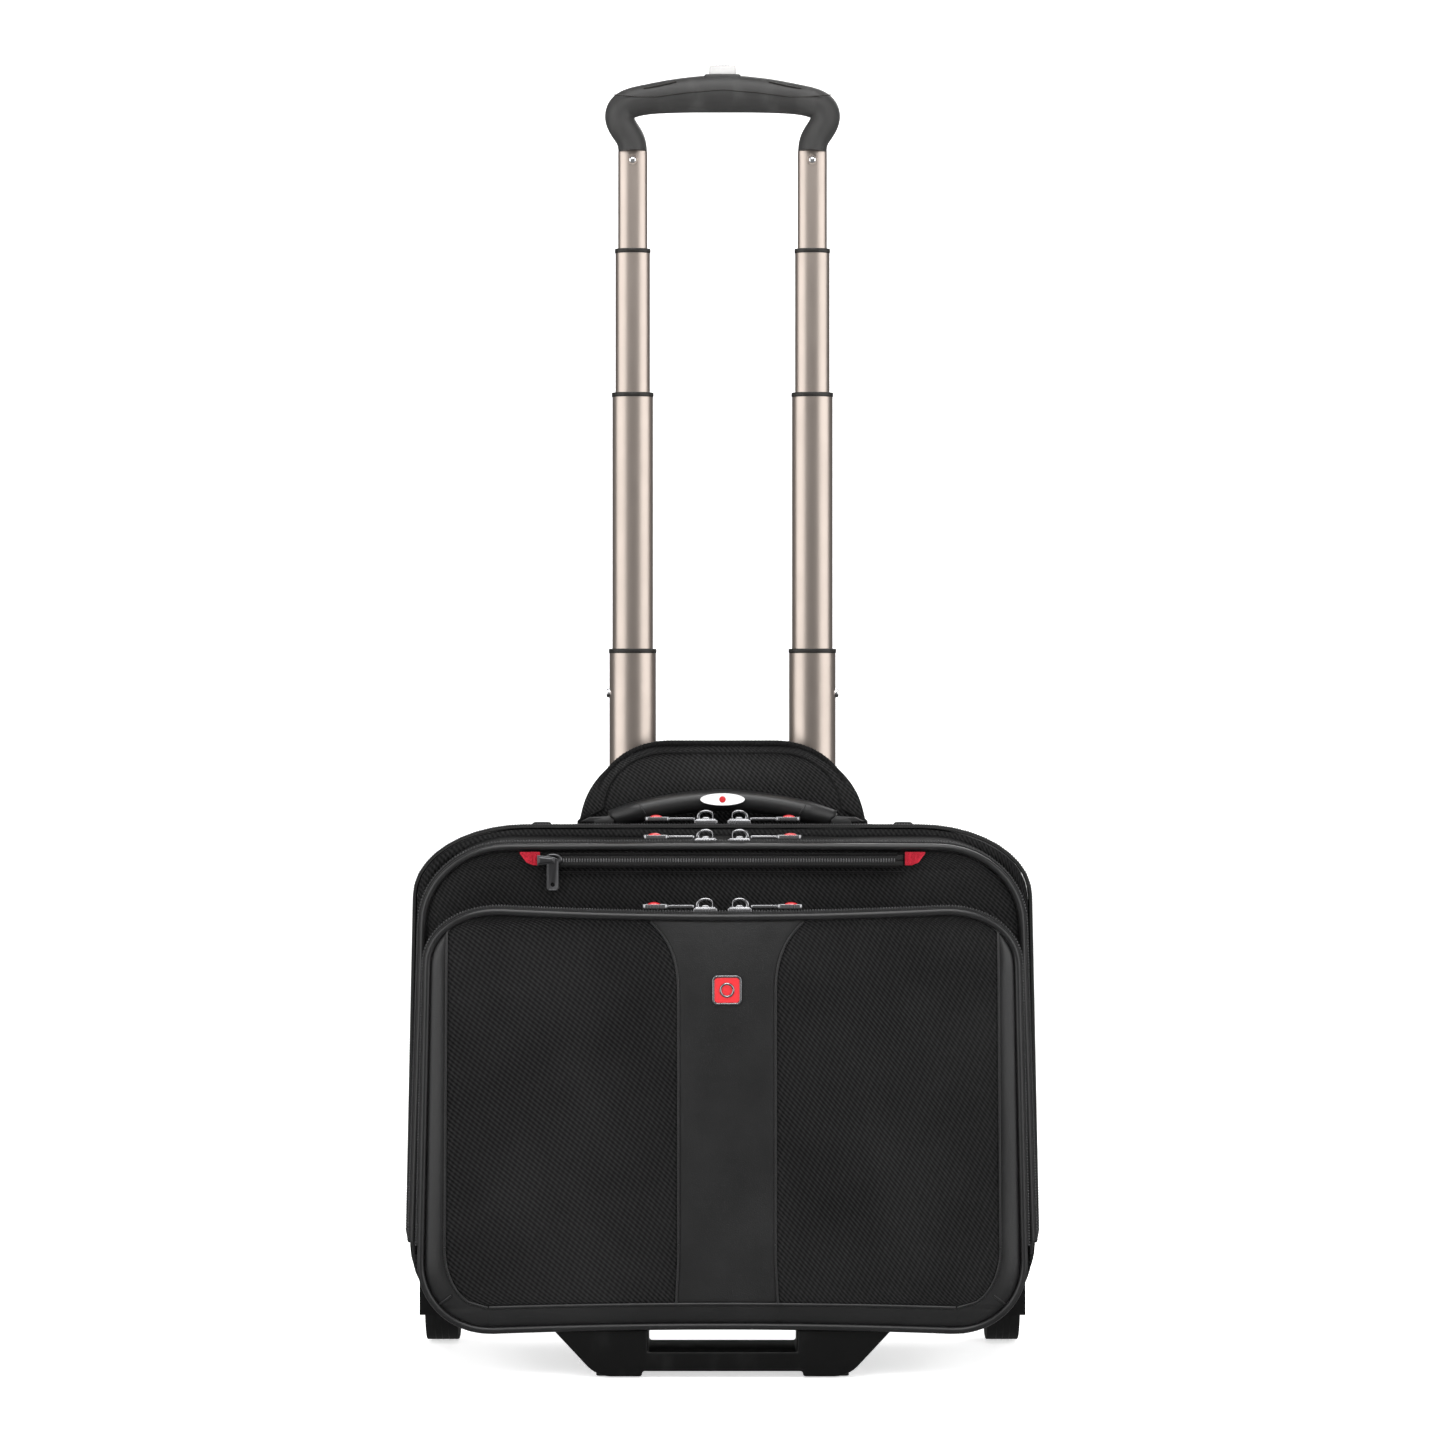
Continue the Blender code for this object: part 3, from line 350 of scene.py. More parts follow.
class Finishes:
    """Every finish of the case, each made once."""

    CHOICES: dict = {
        "twill": Twill("case_twill", (0.0008, 0.0008, 0.0009), (0.0145, 0.0145, 0.0147), 3.2),
        "hump_twill": Twill("hump_twill", (0.0016, 0.0016, 0.0016), (0.024, 0.024, 0.0243), 3.2),
        "lining": Twill("grey_lining", (0.03, 0.03, 0.033), (0.07, 0.07, 0.075), 1.2),
        "red_cloth": Twill("red_tab_cloth", (0.34, 0.010, 0.022), (0.62, 0.03, 0.055), 1.1),
        "vinyl": Vinyl("black_vinyl", (0.0062, 0.0062, 0.0064), 0.38),
        "piping": Vinyl("piping_vinyl", (0.006, 0.006, 0.0062), 0.34, 0.15),
        "handle_vinyl": Vinyl("handle_vinyl", (0.007, 0.007, 0.0072), 0.38),
        "plastic": Moulded("black_plastic", (0.0018, 0.0018, 0.0018), 0.42),
        "soft_grip": Moulded("soft_touch_grip", (0.023, 0.0226, 0.0222), 0.48, 0.15),
        "collar": Moulded("collar_plastic", (0.012, 0.011, 0.010), 0.35, 0.1),
        "rubber": Moulded("wheel_rubber", (0.004, 0.004, 0.004), 0.62, 0.4),
        "board": Moulded("grey_board", (0.05, 0.05, 0.055), 0.8, 0.5),
        "anodised": Metal("champagne_anodised", (0.47, 0.405, 0.36), 0.34, 0.2),
        "chrome": Metal("bright_nickel", (0.80, 0.80, 0.81), 0.14),
        "satin": Enamel("satin_silver", (0.34, 0.335, 0.33), 0.35),
        "black_nickel": Metal("black_nickel", (0.13, 0.13, 0.135), 0.3, 0.1),
        "gunmetal": Metal("dark_nickel", (0.34, 0.34, 0.35), 0.26, 0.2),
        "red_enamel": Enamel("red_enamel", (0.52, 0.010, 0.016), 0.3),
        "white_enamel": Enamel("white_enamel", (0.86, 0.86, 0.86), 0.3),
        "tape": Tape("zip_tape", (0.003, 0.003, 0.003), (0.012, 0.012, 0.012)),
        # The zip coil is drawn dark grey, lighter than its real black: painted highlight where
        # light catches the teeth.
        "coil": Moulded("zip_coil", (0.05, 0.05, 0.051), 0.26, 0.05),
        "thread": Moulded("black_thread", (0.012, 0.012, 0.0125), 0.5, 0.3),
    }

    def __init__(self) -> None:
        """Starts with nothing made."""
        self.made: dict[str, bpy.types.Material] = {}

    def get(self, name: str) -> bpy.types.Material:
        """The material of that name."""
        if name not in self.made:
            self.made[name] = self.CHOICES[name].make()
        return self.made[name]


FINISH = Finishes()


# ---- the modelling bench ------------------------------------------------------------------
def stand(name: str, data: bpy.types.ID) -> bpy.types.Object:
    """Stands new data in the scene as an object."""
    made = bpy.data.objects.new(name, data)
    bpy.context.scene.collection.objects.link(made)
    return made


def single_out(piece: bpy.types.Object) -> None:
    """Selects one object only, and makes it the active one."""
    bpy.ops.object.select_all(action="DESELECT")
    piece.select_set(True)
    bpy.context.view_layer.objects.active = piece


class Bench:
    """One mesh at a time, shaped with Blender's operators."""

    def __init__(self, name: str) -> None:
        """Clears the bench and takes the object that the next primitive makes."""
        self.name = name
        bpy.ops.object.select_all(action="DESELECT")

    def take(self, piece: bpy.types.Object | None = None) -> "Bench":
        """Names the primitive that was just added, or another piece."""
        self.piece = piece or bpy.context.object
        self.piece.name = self.name
        self.piece.data.name = self.name
        return self

    def box(self, low: Sequence[float], high: Sequence[float]) -> "Bench":
        """Adds a box between two corners."""
        middle = [(a + b) / 2 for a, b in zip(low, high)]
        bpy.ops.mesh.primitive_cube_add(size=1, location=middle)
        bpy.context.object.scale = [b - a for a, b in zip(low, high)]
        return self.take().settle()

    def drum(self, radius: float, low: Sequence[float], high: Sequence[float],
             sides: int = 32) -> "Bench":
        """Adds a cylinder between the centres of its two ends."""
        start = Vector(low)
        along = Vector(high) - start
        turn = along.to_track_quat("Z", "Y").to_euler()
        bpy.ops.mesh.primitive_cylinder_add(vertices=sides, radius=radius, depth=along.length,
                                            location=start + along / 2, rotation=turn)
        return self.take().settle()

    def ring(self, radius: float, wire: float, centre: Sequence[float],
             turn: Sequence[float] = (0, 0, 0), sides: int = 32, around: int = 10) -> "Bench":
        """Adds a torus."""
        bpy.ops.mesh.primitive_torus_add(major_radius=radius, minor_radius=wire, location=centre,
                                         rotation=turn, major_segments=sides, minor_segments=around)
        return self.take().settle()

    def dome(self, centre: Sequence[float], half: Sequence[float]) -> "Bench":
        """Adds an ellipsoid of the given half sizes."""
        bpy.ops.mesh.primitive_uv_sphere_add(segments=28, ring_count=14, radius=1, location=centre)
        bpy.context.object.scale = half
        return self.take().settle()

    def card(self, half: Point, centre: Sequence[float],
             turn: Sequence[float] = (0, 0, 0)) -> "Bench":
        """Adds a flat card of the given half sizes."""
        bpy.ops.mesh.primitive_plane_add(size=2, location=centre, rotation=turn)
        bpy.context.object.scale = (*half, 1)
        return self.take().settle()

    def settle(self) -> "Bench":
        """Puts the piece's place in its mesh."""
        bpy.ops.object.transform_apply(location=True, rotation=True, scale=True)
        return self

    @contextmanager
    def editing(self) -> Iterable[None]:
        """Edit mode on this piece, starting with nothing selected."""
        bpy.context.view_layer.objects.active = self.piece
        self.piece.select_set(True)
        bpy.ops.object.mode_set(mode="EDIT")
        bpy.ops.mesh.select_all(action="DESELECT")
        yield
        bpy.ops.object.mode_set(mode="OBJECT")

    def pick(self, test: Test, kind: str = "FACE") -> "Bench":
        """Selects what passes a test on its place and normal, in edit mode."""
        bpy.ops.mesh.select_mode(type=kind)
        bpy.ops.mesh.select_all(action="DESELECT")
        shape = bmesh.from_edit_mesh(self.piece.data)
        shape.normal_update()
        for item in {"VERT": shape.verts, "EDGE": shape.edges, "FACE": shape.faces}[kind]:
            if kind == "FACE":
                chosen = test(item.calc_center_median(), item.normal)
            elif kind == "VERT":
                chosen = test(item.co, item.normal)
            else:
                middle = (item.verts[0].co + item.verts[1].co) / 2
                chosen = test(middle, item.verts[1].co - item.verts[0].co)
            item.select_set(bool(chosen))
        bmesh.update_edit_mesh(self.piece.data)
        return self

    def stretch(self, by: Sequence[float], about: Sequence[float]) -> "Bench":
        """Scales the whole piece about a point."""
        with self.editing():
            bpy.ops.mesh.select_all(action="SELECT")
            bpy.ops.transform.resize(value=by, center_override=about)
        return self

    def open_ends(self) -> "Bench":
        """Takes the caps off an upright tube."""
        with self.editing():
            self.pick(lambda c, n: abs(n.z) > 0.9)
            bpy.ops.mesh.delete(type="FACE")
        return self

    def extrude(self, by: Sequence[float]) -> "Bench":
        """Draws the selected faces out, in edit mode."""
        bpy.ops.mesh.extrude_region_move(TRANSFORM_OT_translate={"value": tuple(by)})
        return self

    def inset(self, by: float) -> "Bench":
        """Insets the selected faces, in edit mode."""
        bpy.ops.mesh.inset(thickness=by)
        return self

    def round_corners(self, test: Test, radius: float, segments: int = 6) -> "Bench":
        """Rounds the chosen corners of a flat card."""
        with self.editing():
            self.pick(test, "VERT")
            bpy.ops.mesh.bevel(offset=radius, segments=segments, affect="VERTICES")
        return self

    def slab(self, half: Point, centre: Sequence[float], turn: Sequence[float], radius: float,
             depth: float, segments: int = 6) -> "Bench":
        """Makes a slab with rounded corners."""
        self.card(half, centre, turn)
        return self.round_corners(lambda c, n: True, radius, segments).thicken(depth, 0)

    def thicken(self, depth: float, offset: float = -1.0) -> "Bench":
        """Gives a flat piece its thickness."""
        wall = self.piece.modifiers.new("wall", "SOLIDIFY")
        wall.thickness = depth
        wall.offset = offset
        return self.apply(wall)

    def soften(self, width: float, segments: int = 3, degrees: float = 30.0) -> "Bench":
        """Rounds every sharp edge."""
        edge = self.piece.modifiers.new("edges", "BEVEL")
        edge.width = width
        edge.segments = segments
        edge.limit_method = "ANGLE"
        edge.angle_limit = math.radians(degrees)
        return self.apply(edge)

    def cut(self, other: "Bench") -> "Bench":
        """Cuts another piece from this one."""
        tool = self.piece.modifiers.new("cut", "BOOLEAN")
        tool.operation = "DIFFERENCE"
        tool.object = other.piece
        self.apply(tool)
        bpy.data.objects.remove(other.piece)
        return self

    def apply(self, modifier: bpy.types.Modifier) -> "Bench":
        """Applies one modifier."""
        bpy.context.view_layer.objects.active = self.piece
        bpy.ops.object.modifier_apply(modifier=modifier.name)
        return self

    def join(self, *others: "Bench") -> "Bench":
        """Makes several pieces one object."""
        single_out(self.piece)
        for other in others:
            other.piece.select_set(True)
        bpy.ops.object.join()
        return self

    def dress(self, finish: str, smooth: float = 35.0) -> "Bench":
        """Gives the piece its finish and its shading."""
        single_out(self.piece)
        bpy.ops.object.shade_smooth_by_angle(angle=math.radians(smooth))
        self.piece.data.materials.clear()
        self.piece.data.materials.append(FINISH.get(finish))
        return self


def keep(piece: "bpy.types.Object | Bench", body: str, slot: str, *nodes: str) -> bpy.types.Object:
    """Ties a finished piece to its body and hides the frame's nodes that it stands for.

    Args:
        piece: The finished piece.
        body: The body that it moves with.
        slot: Not used.
        nodes: The frame's nodes that it replaces.

    Returns:
        The piece.
    """
    made = piece.piece if isinstance(piece, Bench) else piece
    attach(made, body)
    if nodes:
        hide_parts(*nodes)
    LOG.info("%s rides on %s", made.name, body)
    return made


# ---- outlines and sweeps ------------------------------------------------------------------
@dataclass(frozen=True)
class Outline:
    """A rounded outline of the case, seen from the front."""

    half_top: float
    half_bottom: float
    z_bottom: float
    z_top: float
    top_corner: Point
    bottom_corner: Point
    sag: float = 0.0
    lift: float = 0.0

    def inset(self, by: float) -> "Outline":
        """The outline moved inwards."""
        return replace(
            self, half_top=self.half_top - by, half_bottom=self.half_bottom - by,
            z_bottom=self.z_bottom + by, z_top=self.z_top - by,
            top_corner=tuple(max(r - by, MM) for r in self.top_corner),
            bottom_corner=tuple(max(r - by, MM) for r in self.bottom_corner))

    def half_at(self, z: float) -> float:
        """The half width at a height."""
        share = min(max((z - self.z_bottom) / (self.z_top - self.z_bottom), 0.0), 1.0)
        half = self.half_bottom + (self.half_top - self.half_bottom) * share
        for (rx, rz), past in ((self.bottom_corner, self.z_bottom + self.bottom_corner[1] - z),
                               (self.top_corner, z - self.z_top + self.top_corner[1])):
            if past > 0:
                half -= rx * (1 - math.sqrt(max(0.0, 1 - (past / rz) ** 2)))
        return half

    def settle(self, x: float, z: float) -> Point:
        """Lets the top sag and the bottom lift between the corners."""
        share = (z - self.z_bottom) / (self.z_top - self.z_bottom)
        middle = max(0.0, 1 - (x / self.half_bottom) ** 2)
        return x, z + middle * (self.lift * (1 - share) ** 4 - self.sag * share ** 4)

    def rows(self, step: float) -> list[Point]:
        """(half width, height) pairs up the outline, close together in the corners."""
        found = []
        rx, rz = self.bottom_corner
        turns = 10
        for i in range(turns):
            a = QUARTER * i / turns
            found.append((self.half_bottom - rx + rx * math.sin(a),
                          self.z_bottom + rz - rz * math.cos(a)))
        low, high = self.z_bottom + rz, self.z_top - self.top_corner[1]
        count = max(2, round((high - low) / step))
        for i in range(count + 1):
            share = i / count
            found.append((self.half_bottom + (self.half_top - self.half_bottom) * share,
                          low + (high - low) * share))
        rx, rz = self.top_corner
        for i in range(1, turns + 1):
            a = QUARTER * i / turns
            found.append((self.half_top - rx + rx * math.cos(a),
                          self.z_top - rz + rz * math.sin(a)))
        return found

    def path(self, step: float, z_low: float | None = None) -> list[Point]:
        """Evenly spaced points round the outline, clockwise from the lower left.

        Args:
            step: The spacing.
            z_low: Where an open path starts and ends; None gives the closed outline.

        Returns:
            The points, as (x, z).
        """
        side = self.rows(2 * MM)
        if z_low is not None:
            side = [p for p in side if p[1] > z_low]
            side.insert(0, (side[0][0], z_low))
        left = [(-w, z) for w, z in side]
        right = [(w, z) for w, z in reversed(side)]
        flat = max(2, round(2 * side[-1][0] / (4 * MM)))
        top = [(-side[-1][0] + 2 * side[-1][0] * i / flat, side[-1][1]) for i in range(1, flat)]
        points = left + top + right
        if z_low is None:
            flat = max(2, round(2 * side[0][0] / (4 * MM)))
            points += [(side[0][0] - 2 * side[0][0] * i / flat, side[0][1]) for i in range(1, flat)]
        points = [self.settle(*p) for p in points]
        return resample(points, step, z_low is None)


def resample(points: Sequence[Point], step: float, closed: bool) -> list[Point]:
    """Points at even spacing along a line."""
    line = [*points, points[0]] if closed else list(points)
    lengths = [math.dist(a, b) for a, b in zip(line, line[1:])]
    total = sum(lengths)
    count = max(3, round(total / step))
    found, index, passed = [], 0, 0.0
    for i in range(count if closed else count + 1):
        want = total * i / count
        while index < len(lengths) - 1 and passed + lengths[index] < want:
            passed += lengths[index]
            index += 1
        share = (want - passed) / max(lengths[index], 1e-9)
        a, b = line[index], line[index + 1]
        found.append((a[0] + (b[0] - a[0]) * share, a[1] + (b[1] - a[1]) * share))
    return found


def outwards(points: Sequence[Point], closed: bool) -> list[Point]:
    """The outward direction at each point of a clockwise line."""
    count = len(points)
    found = []
    for i in range(count):
        before = points[(i - 1) % count] if closed or i > 0 else points[i]
        after = points[(i + 1) % count] if closed or i < count - 1 else points[i]
        run = (after[0] - before[0], after[1] - before[1])
        size = math.hypot(*run) or 1.0
        found.append((-run[1] / size, run[0] / size))
    return found


def loft(name: str, rows: Sequence[Sequence[Vector]], wrap_along: bool = False,
         wrap_across: bool = False) -> bpy.types.Object:
    """A quad mesh through rows of points, with a UV map in metres.

    Args:
        name: The piece's name.
        rows: The rows, all of one length.
        wrap_along: Whether each row joins its own start.
        wrap_across: Whether the last row joins the first.

    Returns:
        The piece.
    """
    high, wide = len(rows), len(rows[0])
    points = [p for row in rows for p in row]
    across, along = [[0.0] * (wide + 1)], []
    for i in range(high):
        line, row = [0.0], rows[i]
        for j in range(wide):
            line.append(line[-1] + (row[(j + 1) % wide] - row[j]).length)
        along.append([u - line[wide // 2] for u in line])
        after = rows[(i + 1) % high]
        across.append([across[-1][j] + (after[j % wide] - row[j % wide]).length
                       for j in range(wide + 1)])
    along.append(along[0])
    faces, uvs = [], []
    for i in range(high if wrap_across else high - 1):
        for j in range(wide if wrap_along else wide - 1):
            k, n = (j + 1) % wide, (i + 1) % high
            faces.append((i * wide + j, i * wide + k, n * wide + k, n * wide + j))
            base = i + 1
            uvs += [(along[i][j], across[i][j]), (along[i][j + 1], across[i][j + 1]),
                    (along[base][j + 1], across[base][j + 1]), (along[base][j], across[base][j])]
    mesh = bpy.data.meshes.new(name)
    mesh.from_pydata(points, [], faces)
    layer = mesh.uv_layers.new(name="UVMap")
    for spot, uv in zip(layer.data, uvs):
        spot.uv = uv
    mesh.shade_smooth()
    return stand(name, mesh)


def sweep(name: str, path: Sequence[Point], profile: Sequence[Point], closed: bool,
          wrap: bool = False, ruffle: float = 0.0) -> bpy.types.Object:
    """Draws a profile along an outline.

    Args:
        name: The piece's name.
        path: Points (x, z) of the outline.
        profile: Points (outwards, y) of the profile.
        closed: Whether the path is closed.
        wrap: Whether the profile is closed.
        ruffle: The height of soft unevenness in the cloth.

    Returns:
        The piece.
    """
    away = outwards(path, closed)
    rows = []
    for out, y in profile:
        row = []
        for (x, z), (nx, nz) in zip(path, away):
            extra = ruffle * noise.noise(Vector((x * 18, y * 22, z * 18))) if ruffle else 0.0
            row.append(Vector((x + nx * (out + extra), y, z + nz * (out + extra))))
        rows.append(row)
    return loft(name, rows, closed, wrap)


def tidy_normals(piece: bpy.types.Object, towards: Vector | None = None) -> bpy.types.Object:
    """Turns the faces of a piece outwards, or towards a direction if one is given."""
    shape = bmesh.new()
    shape.from_mesh(piece.data)
    bmesh.ops.recalc_face_normals(shape, faces=shape.faces)
    if towards is not None and sum((f.normal * f.calc_area()).dot(towards)
                                   for f in shape.faces) < 0:
        bmesh.ops.reverse_faces(shape, faces=shape.faces)
    shape.to_mesh(piece.data)
    shape.free()
    return piece


def finish_cloth(piece: bpy.types.Object, finish: str, wall: float = 0.0, offset: float = -1.0,
                 inner: str | None = None) -> bpy.types.Object:
    """Gives a soft piece its wall and its finish.

    Args:
        piece: The open surface.
        finish: The outer finish.
        wall: The thickness to add.
        offset: The side that the wall grows on.
        inner: The finish of the inner face, if it differs.

    Returns:
        The piece.
    """
    piece.data.materials.clear()
    piece.data.materials.append(FINISH.get(finish))
    if inner:
        piece.data.materials.append(FINISH.get(inner))
    if wall:
        modifier = piece.modifiers.new("wall", "SOLIDIFY")
        modifier.thickness = wall
        modifier.offset = offset
        modifier.use_even_offset = True
        if inner:
            modifier.material_offset = 1
        bpy.context.view_layer.objects.active = piece
        bpy.ops.object.modifier_apply(modifier=modifier.name)
    return piece


def split_at(piece: bpy.types.Object, height: float, low_name: str, high_name: str
             ) -> tuple[bpy.types.Object, bpy.types.Object]:
    """Cuts a piece in two at a height, leaving both with the same edge."""
    other = piece.copy()
    other.data = piece.data.copy()
    bpy.context.scene.collection.objects.link(other)
    for made, name, side in ((piece, low_name, True), (other, high_name, False)):
        made.name = name
        made.data.name = name
        shape = bmesh.new()
        shape.from_mesh(made.data)
        bmesh.ops.bisect_plane(shape, geom=[*shape.verts, *shape.edges, *shape.faces],
                               plane_co=(0, 0, height), plane_no=(0, 0, 1),
                               clear_outer=side, clear_inner=not side)
        shape.to_mesh(made.data)
        shape.free()
    return piece, other


@dataclass(frozen=True)
class Puff:
    """A cloth simulation that fills a panel sewn down along its seams."""

    pressure: float = 4.0
    cap: float = 6 * MM
    frames: int = 20
    mass: float = 0.05

    def run(self, piece: bpy.types.Object, pinned: Iterable[int]) -> bpy.types.Object:
        """Simulates the panel and keeps its filled shape.

        Args:
            piece: The panel, with its faces pointing outwards.
            pinned: The vertices that are sewn down.

        Returns:
            The piece.
        """
        rest = [v.co.copy() for v in piece.data.vertices]
        group = piece.vertex_groups.new(name="seam")
        group.add(list(pinned), 1.0, "REPLACE")
        cloth = piece.modifiers.new("cloth", "CLOTH")
        cloth.settings.vertex_group_mass = "seam"
        cloth.settings.mass = self.mass
        cloth.settings.use_pressure = True
        cloth.settings.uniform_pressure_force = self.pressure
        cloth.settings.effector_weights.gravity = 0
        cloth.point_cache.frame_end = self.frames
        for frame in range(1, self.frames + 1):
            bpy.context.scene.frame_set(frame)
        bpy.context.view_layer.objects.active = piece
        bpy.ops.object.modifier_apply(modifier="cloth")
        bpy.context.scene.frame_set(1)
        piece.vertex_groups.clear()
        moves = [v.co - start for v, start in zip(piece.data.vertices, rest)]
        LOG.info("%s swelled by up to %.1f mm", piece.name, 1000 * max(m.length for m in moves))
        for vertex, start, move in zip(piece.data.vertices, rest, moves):
            if move.length > 1e-7:
                vertex.co = start + move.normalized() * self.cap * math.tanh(move.length / self.cap)
        return piece


# ---- padded panels ------------------------------------------------------------------------
def between(start: float, end: float, count: int, lip: float = 1.6 * MM) -> list[float]:
    """Columns from a seam to the next, with one close to each seam; the end itself is left out."""
    if abs(end - start) < 4 * lip:
        return [start + (end - start) * i / count for i in range(count)]
    sign = 1 if end > start else -1
    inner = [start + sign * lip + (end - start - 2 * sign * lip) * i / (count - 2)
             for i in range(count - 1)]
    return [start, *inner]


def swell_at(outline: Outline, x: float, z: float, roll: float, edge: float = 14 * MM) -> float:
    """How far a padded face has risen from its seams, between 0 and 1.

    Args:
        outline: The face's outline.
        x: The place across.
        z: The place up.
        roll: How far below its top the face starts to roll back.
        edge: How far from its other edges it does.

    Returns:
        The share of the full crown.
    """
    near = min(1.0, (outline.half_at(z) - abs(x)) / edge, (z - outline.z_bottom) / edge,
               (outline.z_top - z) / roll)
    return math.sin(max(near, 0.0) * QUARTER)


@dataclass
class Panel:
    """A face panel of the case: fields of cloth between sewn seams, filled from behind."""

    name: str
    outline: Outline
    level: float
    facing: int
    seams: Sequence[Callable[[float], float]]
    counts: Sequence[int]
    finishes: Sequence[str]
    finish_at: Callable[[int, float, float], int]
    bands: Sequence[float] = ()
    puff: Puff = field(default_factory=Puff)
    crown: float = 3 * MM
    wall: float = 1.6 * MM
    step: float = 6 * MM
    ridge: float = 0.7 * MM
    roll: float = 14 * MM

    def heights(self) -> list[float]:
        """The heights of the rows, with close ones beside each sewn band."""
        found = {round(z, 6) for _, z in self.outline.rows(self.step)}
        for band in self.bands:
            found = {z for z in found if abs(z - band) > 2.4 * MM}
            found |= {band - 1.6 * MM, band, band + 1.6 * MM}
        return sorted(found)

    def build(self) -> bpy.types.Object:
        """Lays, fills and finishes the panel.

        Returns:
            The panel as one sheet with its wall.
        """
        rows, sewn, kinds, wide = [], [], [], sum(self.counts) + 1
        heights = self.heights()
        for i, z in enumerate(heights):
            half = self.outline.half_at(z)
            stops = [-half, *(max(-half, min(half, seam(z))) for seam in self.seams), half]
            xs, edges = [], set()
            for a, b, count in zip(stops, stops[1:], self.counts):
                edges.add(len(xs))
                xs += between(a, b, count)
            xs.append(half)
            edges.add(len(xs) - 1)
            row = []
            for j, x in enumerate(xs):
                swell = swell_at(self.outline, x, z, self.roll)
                soft = noise.noise(Vector((x * 16, z * 11, self.level * 40))) * 0.8 * MM
                y = self.level + self.facing * (self.crown * swell + soft * swell)
                sx, sz = self.outline.settle(x, z)
                row.append(Vector((sx, y, sz)))
                if j in edges or i in (0, len(heights) - 1) or z in self.bands:
                    sewn.append(i * wide + j)
            rows.append(row)
            starts = [sum(self.counts[:k]) for k in range(len(self.counts))]
            if i < len(heights) - 1:
                middle = (z + heights[i + 1]) / 2
                for k, count in enumerate(self.counts):
                    kinds += [self.finish_at(k, xs[starts[k] + m], middle) for m in range(count)]
        made = loft(self.name, rows)
        tidy_normals(made, Vector((0, self.facing, 0)))
        self.puff.run(made, sewn)
        for index in set(sewn):
            made.data.vertices[index].co.y -= self.facing * self.ridge
        made.data.materials.clear()
        for finish in self.finishes:
            made.data.materials.append(FINISH.get(finish))
        for face, kind in zip(made.data.polygons, kinds):
            face.material_index = kind
        smooth = made.modifiers.new("smooth", "SUBSURF")
        smooth.levels = smooth.render_levels = 1
        smooth.boundary_smooth = "PRESERVE_CORNERS"
        wall = made.modifiers.new("wall", "SOLIDIFY")
        wall.thickness = self.wall
        wall.offset = -1
        wall.material_offset = len(self.finishes) - 1
        wall.material_offset_rim = 0
        bpy.context.view_layer.objects.active = made
        for modifier in ("smooth", "wall"):
            bpy.ops.object.modifier_apply(modifier=modifier)
        return made


def rope(name: str, points: Sequence[Sequence[float]], radius: float, finish: str,
         closed: bool = False, flat: float = 1.0, sides: int = 4) -> bpy.types.Object:
    """A round cord, piping or seam line along points.

    Args:
        name: The piece's name.
        points: The points that it follows.
        radius: Its radius.
        finish: Its finish.
        closed: Whether it joins its own start.
        flat: The share of its thickness that's left along Y.
        sides: The bevel's resolution.

    Returns:
        The piece, as a mesh.
    """
    curve = bpy.data.curves.new(name, "CURVE")
    curve.dimensions = "3D"
    curve.bevel_depth = radius
    curve.bevel_resolution = sides
    curve.use_fill_caps = not closed
    line = curve.splines.new("POLY")
    line.points.add(len(points) - 1)
    for spot, place in zip(line.points, points):
        spot.co = (*place, 1.0)
    line.use_cyclic_u = closed
    single_out(stand(name, curve))
    bpy.ops.object.convert(target="MESH")
    made = bpy.context.object
    made.data.shade_smooth()
    if flat != 1.0:
        middle = sum(p[1] for p in points) / len(points)
        for vertex in made.data.vertices:
            vertex.co.y = middle + (vertex.co.y - middle) * flat
    made.data.materials.clear()
    made.data.materials.append(FINISH.get(finish))
    return made


def strew(name: str, unit: Bench, spots: Sequence[Point],
          place: Callable[[Point, Point, Vector], tuple], finish: str) -> bpy.types.Object:
    """Repeats a small unit along an open line, as one mesh.

    Args:
        name: The piece's name.
        unit: The unit, which is used up.
        spots: The points of the line.
        place: Where a vertex goes, from its spot, the outward direction there and its place in
            the unit.
        finish: The piece's finish.

    Returns:
        The piece.
    """
    shape = unit.piece.data
    verts, faces = [], []
    for spot, away in zip(spots, outwards(spots, False)):
        base = len(verts)
        verts += [place(spot, away, v.co) for v in shape.vertices]
        faces += [[base + i for i in face.vertices] for face in shape.polygons]
    bpy.data.objects.remove(unit.piece)
    mesh = bpy.data.meshes.new(name)
    mesh.from_pydata(verts, [], faces)
    mesh.materials.append(FINISH.get(finish))
    return tidy_normals(stand(name, mesh))


def at_depth(path: Iterable[Point], y: float, out: float = 0.0) -> list[Vector]:
    """Gives the points of an outline a depth, and moves them outwards."""
    points = list(path)
    away = outwards(points, math.dist(points[0], points[-1]) < 20 * MM)
    return [Vector((x + nx * out, y, z + nz * out)) for (x, z), (nx, nz) in zip(points, away)]


